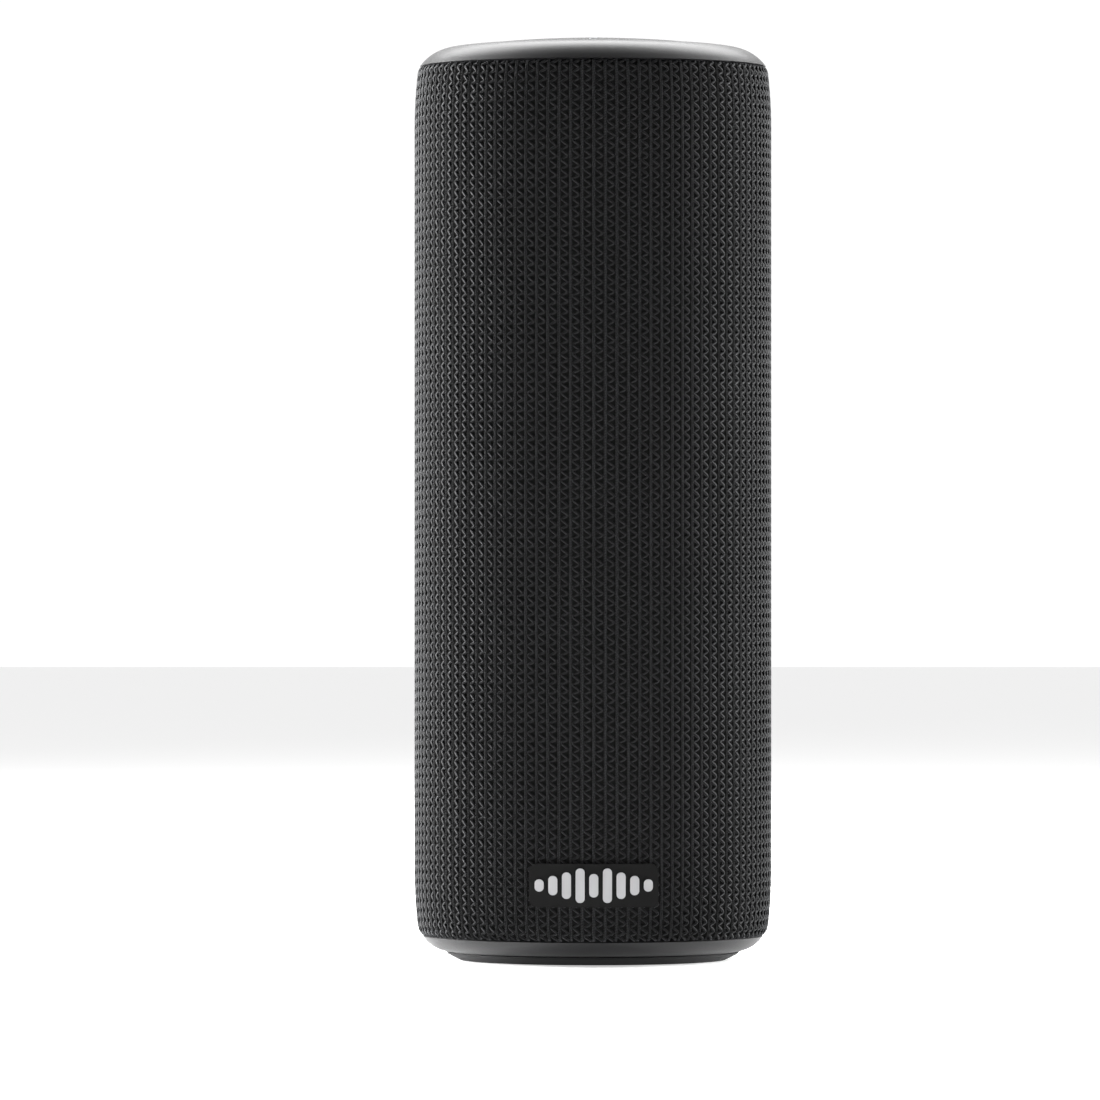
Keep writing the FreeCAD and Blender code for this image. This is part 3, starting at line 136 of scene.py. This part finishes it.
class Finish:
    """One material's nodes, round its Principled shader."""

    def __init__(self, name, **constants):
        self.material = bpy.data.materials.new(name)
        self.material.use_nodes = True
        self.tree = self.material.node_tree
        self.surface = self.tree.nodes["Principled BSDF"]
        for socket, value in constants.items():
            self.surface.inputs[socket.replace("_", " ")].default_value = value
        self.place = self.add("ShaderNodeTexCoord", output="Object")

    def add(self, kind, settings=None, values=None, output=0):
        """A node of that kind, its settings first and then its sockets' values or links."""
        node = self.tree.nodes.new(kind)
        for setting, value in (settings or {}).items():
            setattr(node, setting, value)
        for socket, value in (values or {}).items():
            self.link(value, node.inputs[socket])
        return Socket(self, node.outputs[output])

    def link(self, value, target):
        if isinstance(value, Socket):
            self.tree.links.new(value.output, target)
        elif target.type == "RGBA" and len(value) == 3:
            target.default_value = (*value, 1.0)
        else:
            target.default_value = value

    def set(self, socket, value):
        self.link(value, self.surface.inputs[socket])

    def height(self):
        return self.add("ShaderNodeSeparateXYZ", values={0: self.place}, output="Z")

    def stretched(self, source, scale):
        return self.add("ShaderNodeMapping", values={"Vector": source, "Scale": scale})

    def noise(self, scale, detail=3.0, roughness=0.55, stretch=None):
        where = self.stretched(self.place, stretch) if stretch else self.place
        values = {"Vector": where, "Scale": scale, "Detail": detail, "Roughness": roughness}
        return self.add("ShaderNodeTexNoise", values=values)

    def cells(self, scale, feature="F1"):
        values = {"Vector": self.place, "Scale": scale}
        return self.add("ShaderNodeTexVoronoi", {"feature": feature}, values)

    def wave(self, scale, bands, source=None):
        settings = {"wave_type": "BANDS", "bands_direction": bands}
        values = {"Vector": source or self.place, "Scale": scale}
        return self.add("ShaderNodeTexWave", settings, values, "Fac")

    def mix(self, share, low, high):
        """Colour low where share is 0, and high where it is 1."""
        values = {MIX_SHARE: share, MIX_LOW: low, MIX_HIGH: high}
        return self.add("ShaderNodeMix", {"data_type": "RGBA"}, values, MIX_RESULT)

    def relief(self, height, depth):
        """A bump from a height of 0 to 1, depth metres deep."""
        values = {"Distance": depth, "Height": height}
        self.set("Normal", self.add("ShaderNodeBump", values=values))


def moulded(name, colour, roughness, grain=5200.0, depth=0.02 * MM, **constants):
    """Moulded plastic or rubber: a fine spark-eroded grain, and faint wear in broad patches."""
    finish = Finish(name, **constants)
    grain_height = finish.noise(grain, 2.0, 0.6)
    broad = finish.noise(60.0, 4.0, 0.6)
    dark, light = [c * 0.86 for c in colour], [c * 1.14 for c in colour]
    finish.set("Base Color", finish.mix(broad, dark, light))
    finish.set("Roughness", broad * 0.08 + (roughness - 0.05) + grain_height * 0.03)
    finish.relief(grain_height, depth)
    return finish.material


def metal(name, colour, roughness, stretch, **constants):
    """Brushed or plated metal: scratches are fine along the axes that stretch is large on."""
    finish = Finish(name, Metallic=1.0, **constants)
    lines = finish.noise(1.0, 3.0, 0.7, stretch=stretch)
    broad = finish.noise(220.0, 4.0, 0.6)
    finish.set("Base Color", finish.mix(broad, [c * 0.9 for c in colour], colour))
    finish.set("Roughness", lines * 0.16 + (roughness - 0.08) + broad * 0.05)
    finish.relief(lines, 0.004 * MM)
    return finish.material


def knit_yarn():
    """Spun polyester yarn: two twisted plies, loose fibres and slight changes of shade."""
    finish = Finish(
        "knit_yarn", Sheen_Weight=0.22, Sheen_Roughness=0.4, Specular_IOR_Level=0.2)
    finish.surface.inputs["Sheen Tint"].default_value = (0.75, 0.78, 0.82, 1.0)
    strand = finish.add("ShaderNodeTexCoord", output="UV")
    twist = finish.wave(1.0, "DIAGONAL", finish.stretched(strand, (16.0, 210.0, 1.0)))
    fibres = finish.noise(9000.0, 3.0, 0.7)
    shade = finish.noise(420.0, 3.0, 0.6)
    dark, light = (0.0085, 0.0085, 0.0088), (0.0255, 0.0255, 0.0264)
    finish.set("Base Color", finish.mix(shade * 0.7 + fibres * 0.3, dark, light))
    finish.set("Roughness", fibres * 0.16 + 0.66)
    finish.relief(twist * 0.6 + fibres * 0.4, 0.05 * MM)
    return finish.material


def lining_cloth():
    """The dark backing behind the knit."""
    finish = Finish("lining_cloth", Specular_IOR_Level=0.1)
    fibres = finish.noise(4000.0, 3.0, 0.6)
    dark, light = (0.010, 0.010, 0.010), (0.020, 0.020, 0.020)
    finish.set("Base Color", finish.mix(fibres, dark, light))
    finish.set("Roughness", fibres * 0.1 + 0.88)
    finish.relief(fibres, 0.05 * MM)
    return finish.material


def key_rubber():
    """Soft key rubber, with the raised sign on each key's face picked out in pale paint."""
    finish = Finish("key_rubber", Specular_IOR_Level=0.4)
    crown_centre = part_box("play_button")[1].z - CROWN_RADIUS
    from_centre = finish.add(
        "ShaderNodeVectorMath", {"operation": "DISTANCE"},
        {0: finish.place, 1: (0.0, 0.0, crown_centre)}, "Value")
    sign = from_centre.smooth(CROWN_RADIUS - 0.07 * MM, CROWN_RADIUS - 0.03 * MM)
    grain = finish.noise(5200.0, 2.0, 0.6)
    wear = finish.noise(900.0, 3.0, 0.6)
    body = finish.mix(wear, (0.022, 0.022, 0.023), (0.030, 0.030, 0.031))
    paint = finish.mix(wear, (0.42, 0.42, 0.43), (0.58, 0.58, 0.59))
    finish.set("Base Color", finish.mix(sign, body, paint))
    finish.set("Roughness", grain * 0.08 + 0.52)
    finish.relief(grain, 0.02 * MM)
    return finish.material


def circuit_board():
    """Solder mask over tracks and plated holes."""
    finish = Finish("circuit_board", Coat_Weight=0.4, Coat_Roughness=0.15)
    mask = (0.010, 0.085, 0.035)
    tracks = finish.cells(420.0, "DISTANCE_TO_EDGE") < 0.07
    dots = finish.cells(900.0) < 0.16
    green = finish.mix(tracks, mask, [c * 1.9 for c in mask])
    finish.set("Base Color", finish.mix(dots, green, (0.62, 0.48, 0.20)))
    finish.set("Metallic", dots * 0.9)
    finish.set("Roughness", 0.42 - dots * 0.12)
    finish.relief(tracks, 0.03 * MM)
    return finish.material


def paper_pulp():
    """Pressed paper: fibres, and patches that are a little smoother."""
    finish = Finish("paper_pulp", Specular_IOR_Level=0.25)
    fibres = finish.noise(1500.0, 5.0, 0.7)
    broad = finish.noise(160.0, 3.0, 0.5)
    dark, light = (0.018, 0.018, 0.019), (0.055, 0.055, 0.057)
    finish.set("Base Color", finish.mix(fibres, dark, light))
    finish.set("Roughness", broad * 0.1 + 0.78)
    finish.relief(fibres, 0.08 * MM)
    return finish.material


def wound_copper():
    """Enamelled copper wire in close turns along the coil's axis, with painted shade darkening the
    grooves between the turns.
    """
    finish = Finish("wound_copper", Metallic=1.0, Coat_Weight=0.6, Coat_Roughness=0.2)
    turns = finish.wave(1400.0, "Y")
    # Painted shade: the colour goes dark brown in the grooves between turns, where the bump is
    # low, and copper on the turns' crests.
    finish.set("Base Color", finish.mix(turns, (0.30, 0.10, 0.04), (0.80, 0.36, 0.16)))
    finish.set("Roughness", 0.42 - turns * 0.14)
    finish.relief(turns, 0.06 * MM)
    return finish.material


def woven_spider():
    """Resin-dipped cotton, woven, with painted shade darkening the low places between its threads.
    """
    finish = Finish("woven_spider", Specular_IOR_Level=0.3)
    weave_and_gap_shade = finish.wave(900.0, "X") * finish.wave(900.0, "Z")
    # Painted shade: the colour goes dark brown where the weave is low, between the threads, and
    # honey on the raised threads.
    finish.set("Base Color", finish.mix(weave_and_gap_shade, (0.20, 0.12, 0.03), (0.55, 0.40, 0.16)))
    finish.set("Roughness", 0.75 - weave_and_gap_shade * 0.15)
    finish.relief(weave_and_gap_shade, 0.08 * MM)
    return finish.material


def shrink_wrap():
    """The cells' glossy plastic sleeve, with a pale band round the middle."""
    finish = Finish("shrink_wrap", Coat_Weight=0.5, Coat_Roughness=0.12)
    height = finish.height()
    low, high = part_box("battery_cells")
    middle = (low.z + high.z) / 2
    inner, outer = 6.0 * MM, 6.2 * MM
    above = height.smooth(middle + inner, middle + outer)
    band = height.smooth(middle - outer, middle - inner) * (1 - above)
    creases = finish.noise(240.0, 4.0, 0.6)
    blue = finish.mix(creases, (0.012, 0.075, 0.20), (0.018, 0.10, 0.26))
    finish.set("Base Color", finish.mix(band, blue, (0.55, 0.57, 0.58)))
    finish.set("Roughness", creases * 0.12 + 0.28)
    finish.relief(creases, 0.08 * MM)
    return finish.material


def ribbon_film():
    """Amber film with copper tracks running up it."""
    finish = Finish("ribbon_film", Coat_Weight=0.3, Coat_Roughness=0.2)
    tracks = finish.wave(330.0, "X") > 0.55
    film = finish.noise(300.0, 3.0, 0.6)
    finish.set("Base Color", finish.mix(tracks, (0.30, 0.12, 0.02), (0.52, 0.24, 0.06)))
    finish.set("Roughness", film * 0.12 + 0.34)
    finish.relief(tracks, 0.02 * MM)
    return finish.material


# ---------------------------------------------------------------- the sleeve's shape
def running_total(rates, step):
    """The sum of the rates up to each place, with places a step apart."""
    return np.concatenate([[0.0], np.cumsum((rates[1:] + rates[:-1]) / 2 * step)])


def sleeve_profile():
    """Distances along the sleeve's side from its lower hem, and the radius, height and lean there.

    The lean is how far the side turns out from upright, in radians."""
    drop = FLANK_RADIUS * (1 - math.cos(FLANK_TURN))
    flank = FLANK_RADIUS * FLANK_TURN
    insets = (BASE_INSET, TOP_INSET)
    turns = [math.acos(math.cos(FLANK_TURN) - (inset - drop) / CURL_RADIUS) for inset in insets]
    curls = [CURL_RADIUS * (turn - FLANK_TURN) for turn in turns]
    rises = [CURL_RADIUS * (math.sin(turn) - math.sin(FLANK_TURN)) for turn in turns]
    flank_rise = FLANK_RADIUS * math.sin(FLANK_TURN)
    straight = HEM_HIGH - HEM_LOW - 2 * flank_rise - sum(rises)
    lengths = np.cumsum([0.0, curls[0], flank, straight, flank, curls[1]])
    leans = [turns[0], FLANK_TURN, 0.0, 0.0, -FLANK_TURN, -turns[1]]
    along = np.linspace(0.0, lengths[-1], PROFILE_POINTS)
    lean = np.interp(along, lengths, leans)
    radius = RADIUS - BASE_INSET + running_total(np.sin(lean), along[1])
    height = HEM_LOW + running_total(np.cos(lean), along[1])
    return along, radius, height, lean


PROFILE = sleeve_profile()
SIDE_LENGTH = PROFILE[0][-1]
ROW = SIDE_LENGTH / ROWS
PITCH = 2 * math.pi / COLUMNS


def on_sleeve(turn, along, depth):
    """Points under the sleeve's outside by depth, and the outward normals there.

    Turn is in radians about Z from the middle of the back, clockwise seen from above."""
    radius = np.interp(along, PROFILE[0], PROFILE[1])
    height = np.interp(along, PROFILE[0], PROFILE[2])
    lean = np.interp(along, PROFILE[0], PROFILE[3])
    radius = radius - depth * np.cos(lean)
    height = height + depth * np.sin(lean)
    sideways = np.sin(turn)
    backwards = np.cos(turn)
    points = np.stack([radius * sideways, radius * backwards, height], 1)
    normals = np.stack([np.cos(lean) * sideways, np.cos(lean) * backwards, -np.sin(lean)], 1)
    return points, normals


def yarn(turn, along, depth, thickness, sides):
    """A yarn's tube, of radius thickness, as a grid of points with its rings along axis 0."""
    points, normals = on_sleeve(turn, along, depth)
    forward = np.gradient(points, axis=0)
    forward /= np.linalg.norm(forward, axis=1)[:, None]
    across = np.cross(forward, normals)
    across /= np.linalg.norm(across, axis=1)[:, None]
    outward = np.cross(across, forward)
    angles = np.arange(sides) * 2 * math.pi / sides
    ring = (np.cos(angles)[None, :, None] * outward[:, None, :]
            + np.sin(angles)[None, :, None] * across[:, None, :])
    return points[:, None, :] + thickness * ring


def column_yarns():
    """The three yarns of one column: a rib of two, and one that zigzags from rib to rib."""
    yarns = []
    along = np.linspace(0.0, SIDE_LENGTH, ROWS * RIB_RINGS + 1)
    beat = 2 * math.pi * along / ROW
    for side in (-1, 1):
        turn = PITCH * (side * RIB_OFFSET + RIB_WAVER * np.sin(beat + side))
        depth = RIB_YARN * (1.20 + 0.20 * np.cos(beat + side * 0.8))
        yarns.append(yarn(turn, along, depth, RIB_YARN, RIB_SIDES))
    along = np.linspace(0.0, SIDE_LENGTH, ROWS * LOOP_RINGS + 1)
    swing = 2 * math.pi * along / ROW
    snap = LOOP_SNAP * (1 - np.cos(swing))
    turn = -PITCH * (LOOP_MIDDLE + LOOP_REACH * np.cos(swing - snap))
    depth = LOOP_YARN + UNDER_RIB * (0.5 - 0.5 * np.cos(swing - UNDER_RIB_LAG))
    yarns.append(yarn(turn, along, depth, LOOP_YARN, LOOP_SIDES))
    return yarns


def around_axis(points, turn):
    """Points turned about Z, clockwise seen from above, as on_sleeve counts it."""
    cosine, sine = math.cos(turn), math.sin(turn)
    moved = points.copy()
    moved[..., 0] = points[..., 0] * cosine + points[..., 1] * sine
    moved[..., 1] = points[..., 1] * cosine - points[..., 0] * sine
    return moved


port_low, port_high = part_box("port_frame")


def behind_bezel(centres):
    """True for what the port's frame takes the place of. Its rim overlaps the rest."""
    across, height = centres[:, 0], centres[:, 2]
    inside = (across > port_low.x + BEZEL_OVERLAP) & (across < port_high.x - BEZEL_OVERLAP)
    inside &= (height > port_low.z + BEZEL_OVERLAP) & (height < port_high.z - BEZEL_OVERLAP)
    return inside & (centres[:, 1] > 0)


def piece_from(name, points, faces, corners_map, material):
    """A smooth piece of the knit from points, faces and each face corner's place on its map."""
    mesh = bpy.data.meshes.new(name)
    mesh.from_pydata(points, [], faces)
    layer = mesh.uv_layers.new(name="OFBake")
    layer.uv.foreach_set("vector", corners_map.astype(np.float32).ravel())
    mesh.shade_smooth()
    mesh.materials.append(material)
    piece = bpy.data.objects.new(name, mesh)
    bpy.context.scene.collection.objects.link(piece)
    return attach(piece, BODY)


def grid_quads(rings, sides):
    """Faces of a grid of closed rings, and their corners' places from 0 to 1 both ways."""
    ring, side = np.meshgrid(np.arange(rings - 1), np.arange(sides), indexing="ij")
    ring, side = ring.ravel(), side.ravel()
    after = (side + 1) % sides
    quads = np.stack([ring * sides + side, ring * sides + after,
                      (ring + 1) * sides + after, (ring + 1) * sides + side], 1)
    across = np.stack([side, side + 1, side + 1, side], 1) / sides
    along = np.stack([ring, ring, ring + 1, ring + 1], 1) / (rings - 1)
    return quads, np.stack([across, along], 2)


def stretches(kept):
    """Where each unbroken stretch of kept rings starts and stops."""
    changes = np.flatnonzero(np.diff(np.concatenate([[0], kept.astype(int), [0]])))
    return zip(changes[::2], changes[1::2])


def knit_panel(number, yarns, material):
    """A few neighbouring columns of the knit as one piece, each yarn a tube closed at its ends."""
    points, faces, maps = [], [], []
    count = 0
    strips = COLUMNS_PER_PANEL * len(yarns)
    turned = [(PITCH * (number * COLUMNS_PER_PANEL + column), one)
              for column in range(COLUMNS_PER_PANEL) for one in yarns]
    for strip, (turn, one) in enumerate(turned):
        rings, sides = one.shape[:2]
        placed = around_axis(one, turn)
        for start, stop in stretches(~behind_bezel(placed.mean(1))):
            quads, face_map = grid_quads(stop - start, sides)
            inset = face_map[:, :, 0] * STRIP_FILL + (1 - STRIP_FILL) / 2
            face_map[:, :, 0] = (inset + strip) / strips
            face_map[:, :, 1] = (face_map[:, :, 1] * (stop - start - 1) + start) / (rings - 1)
            points.append(placed[start:stop].reshape(-1, 3))
            faces += (quads + count).tolist()
            first = list(range(count, count + sides))
            last = [place + (stop - start - 1) * sides for place in first]
            faces += [first[::-1], last]
            ends = [[(strip + 0.5) / strips, ring / (rings - 1)] for ring in (start, stop - 1)]
            maps += [face_map.reshape(-1, 2), np.repeat(ends, sides, axis=0)]
            count += (stop - start) * sides
    name = f"knit_panel_{number + 1:02d}"
    return piece_from(name, np.concatenate(points), faces, np.concatenate(maps), material)


def knit_lining(material):
    """The backing cloth just under the yarns, with the port's window cut in it."""
    around = COLUMNS * 2
    turn, along = np.meshgrid(np.linspace(0, 2 * math.pi, around + 1)[:-1],
                              np.linspace(0, SIDE_LENGTH, LINING_LEVELS), indexing="xy")
    points, _ = on_sleeve(turn.ravel(), along.ravel(), np.full(turn.size, LINING_DEPTH))
    quads, maps = grid_quads(LINING_LEVELS, around)
    kept = ~behind_bezel(points[quads].mean(1))
    quads, maps = quads[kept, ::-1], maps[kept, ::-1]
    lining = piece_from("knit_lining", points, quads.tolist(), maps.reshape(-1, 2), material)
    cloth = lining.modifiers.new("cloth", "SOLIDIFY")
    cloth.thickness = LINING_THICKNESS
    cloth.offset = -1.0
    bpy.context.view_layer.objects.active = lining
    bpy.ops.object.modifier_apply(modifier=cloth.name)
    return lining


# ---------------------------------------------------------------- finishes of the fixed pieces
def dress(material, *names):
    for name in names:
        for place in nodes[name].material_slots:
            place.material = material


def dress_everything():
    shell = moulded("satin_shell", (0.020, 0.020, 0.021), 0.34, Specular_IOR_Level=0.55)
    dress(shell, "top_cap", "base_cap", "port_frame")
    dress(moulded("soft_pad", (0.020, 0.020, 0.021), 0.58, 3800.0, 0.03 * MM), "control_pad")
    dress(key_rubber(), "play_button", "volume_up_button", "volume_down_button",
          "power_button", "pairing_button")
    dress(moulded("door_rubber", (0.022, 0.022, 0.023), 0.60, 4200.0, 0.03 * MM), "port_flap")
    rubber = moulded("foot_rubber", (0.016, 0.016, 0.017), 0.66, 3000.0, 0.05 * MM)
    dress(rubber, "foot_ring", "lead_grommet")
    foam = moulded("seal_foam", (0.012, 0.012, 0.012), 0.85, 2600.0, 0.2 * MM)
    dress(foam, "top_seal", "base_seal", "chassis_gasket")
    guide = moulded("frosted_guide", (0.62, 0.66, 0.70), 0.38, Transmission_Weight=0.25)
    dress(guide, "status_light_guide")
    dress(metal("bar_metal", (0.56, 0.56, 0.57), 0.34, (60.0, 60.0, 2400.0),
                Specular_IOR_Level=0.5), "badge_bars")
    backing = moulded("badge_backing", (0.004, 0.004, 0.004), 0.5, Specular_IOR_Level=0.2)
    dress(backing, "badge_plate")
    dress(moulded("grille_plastic", (0.010, 0.010, 0.010), 0.55, 2400.0, 0.04 * MM), "grille_tube")
    dress(moulded("chassis_plastic", (0.018, 0.018, 0.019), 0.50, 2200.0, 0.05 * MM),
          "chassis_front", "chassis_rear", "radiator_frames", "battery_cradle")
    dress(metal("plated_screw", (0.42, 0.42, 0.44), 0.34, (900.0, 900.0, 900.0)),
          "base_screws", "top_cap_screws", "chassis_screws", "baffle_screws", "board_screws")
    dress(metal("socket_steel", (0.62, 0.62, 0.63), 0.30, (60.0, 1800.0, 60.0)), "usb_socket")
    dress(metal("zinc_steel", (0.55, 0.55, 0.58), 0.36, (700.0, 700.0, 700.0)),
          "driver_yokes", "driver_pole_plates")
    nickel = metal("nickel_magnet", (0.62, 0.60, 0.57), 0.22, (500.0, 500.0, 500.0))
    dress(nickel, "driver_magnets")
    dress(circuit_board(), "main_board", "button_board", "port_board", "battery_board")
    dress(moulded("chip_plastic", (0.014, 0.014, 0.015), 0.42, 3000.0, 0.03 * MM),
          "main_board_parts", "tact_switches")
    dress(moulded("connector_plastic", (0.60, 0.58, 0.50), 0.40, 2600.0), "board_connectors")
    dress(ribbon_film(), "button_ribbon")
    dress(moulded("lead_sheath", (0.30, 0.012, 0.010), 0.45, 2600.0, 0.02 * MM),
          "speaker_leads", "power_leads")
    dress(shrink_wrap(), "battery_cells")
    pulp, copper, spider = paper_pulp(), wound_copper(), woven_spider()
    basket = moulded("basket_paint", (0.012, 0.012, 0.012), 0.40, 1800.0, 0.04 * MM)
    surround = moulded("surround_rubber", (0.012, 0.012, 0.013), 0.48, 2600.0, 0.02 * MM)
    plate = metal("black_anodised", (0.060, 0.060, 0.064), 0.36, (1300.0, 60.0, 60.0))
    for face in ("front", "rear"):
        dress(pulp, f"{face}_cone", f"{face}_dust_cap")
        dress(copper, f"{face}_voice_coil")
        dress(spider, f"{face}_spider")
        dress(basket, f"{face}_driver_basket")
        dress(surround, f"{face}_surround", f"{face}_radiator_surround")
        dress(plate, f"{face}_radiator_plate")


# ---------------------------------------------------------------- the studio
def floor():
    """White paper that the camera sees as brighter than the speaker does."""
    bpy.ops.mesh.primitive_plane_add(size=9.0, location=(0, 0, 0))
    sheet = bpy.context.object
    sheet.name = "studio_floor"
    finish = Finish(
        "studio_paper", Roughness=0.8, Specular_IOR_Level=0.1, Emission_Strength=0.5)
    seen = finish.add("ShaderNodeLightPath")
    finish.set("Emission Color", finish.mix(seen, (0.5, 0.5, 0.5), (1.0, 1.0, 1.0)))
    tone = finish.noise(30.0, 2.0, 0.5)
    finish.set("Base Color", finish.mix(tone, (0.93, 0.93, 0.93), (0.95, 0.95, 0.95)))
    sheet.data.materials.append(finish.material)


def softbox(name, place, aim, width, height, watts):
    lamp = bpy.data.lights.new(name, "AREA")
    lamp.shape = "RECTANGLE"
    lamp.size = width
    lamp.size_y = height
    lamp.energy = watts
    holder = bpy.data.objects.new(name, lamp)
    holder.location = place
    holder.rotation_euler = (Vector(aim) - Vector(place)).to_track_quat("-Z", "Y").to_euler()
    bpy.context.scene.collection.objects.link(holder)


def sky():
    """White behind and beside the speaker, and dim in front of it, so that its face stays dark."""
    world = bpy.data.worlds.new("studio_walls")
    bpy.context.scene.world = world
    world.use_nodes = True
    tree = world.node_tree
    back = tree.nodes["Background"]
    back.inputs["Color"].default_value = (1.0, 1.0, 1.0, 1.0)
    where = tree.nodes.new("ShaderNodeTexCoord")
    split = tree.nodes.new("ShaderNodeSeparateXYZ")
    ramp = tree.nodes.new("ShaderNodeMapRange")
    path = tree.nodes.new("ShaderNodeLightPath")
    pick = tree.nodes.new("ShaderNodeMix")
    tree.links.new(where.outputs["Generated"], split.inputs[0])
    tree.links.new(split.outputs["Y"], ramp.inputs["Value"])
    ramp.interpolation_type = "SMOOTHSTEP"
    ramp.inputs["From Min"].default_value = -0.55
    ramp.inputs["From Max"].default_value = 0.45
    ramp.inputs["To Min"].default_value = 0.01
    ramp.inputs["To Max"].default_value = 0.70
    tree.links.new(path.outputs["Is Camera Ray"], pick.inputs[0])
    tree.links.new(ramp.outputs[0], pick.inputs[2])
    pick.inputs[3].default_value = 1.05
    tree.links.new(pick.outputs[0], back.inputs["Strength"])


def camera():
    """A long lens, level, a little below the speaker's middle and to the left of it."""
    eye = bpy.data.cameras.new("eye")
    eye.sensor_width = 36.0
    eye.lens = 292.0
    eye.clip_start = 0.05
    eye.clip_end = 60.0
    stand = bpy.data.objects.new("eye", eye)
    stand.location = (-8.65 * MM, -1.8, 82.55 * MM)
    stand.rotation_euler = (math.radians(90), 0, 0)
    bpy.context.scene.collection.objects.link(stand)
    bpy.context.scene.camera = stand


def studio():
    floor()
    sky()
    middle, cap = (0.0, 0.0, 0.09), (0.0, 0.0, 0.18)
    softbox("left_box", (-0.92, 0.46, 0.22), middle, 0.35, 0.9, 62.0)
    softbox("right_box", (0.92, 0.40, 0.22), middle, 0.35, 0.9, 30.0)
    softbox("top_box", (0.0, 0.55, 0.75), cap, 0.9, 0.5, 6.5)
    camera()
    bpy.context.scene.view_settings.view_transform = "Standard"


# ---------------------------------------------------------------- putting it together
bpy.ops.object.select_all(action="DESELECT")
dress_everything()
yarn_finish = knit_yarn()
column = column_yarns()
lining = knit_lining(lining_cloth())
panels = [knit_panel(number, column, yarn_finish)
          for number in range(COLUMNS // COLUMNS_PER_PANEL)]
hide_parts("knit_sleeve")
studio()
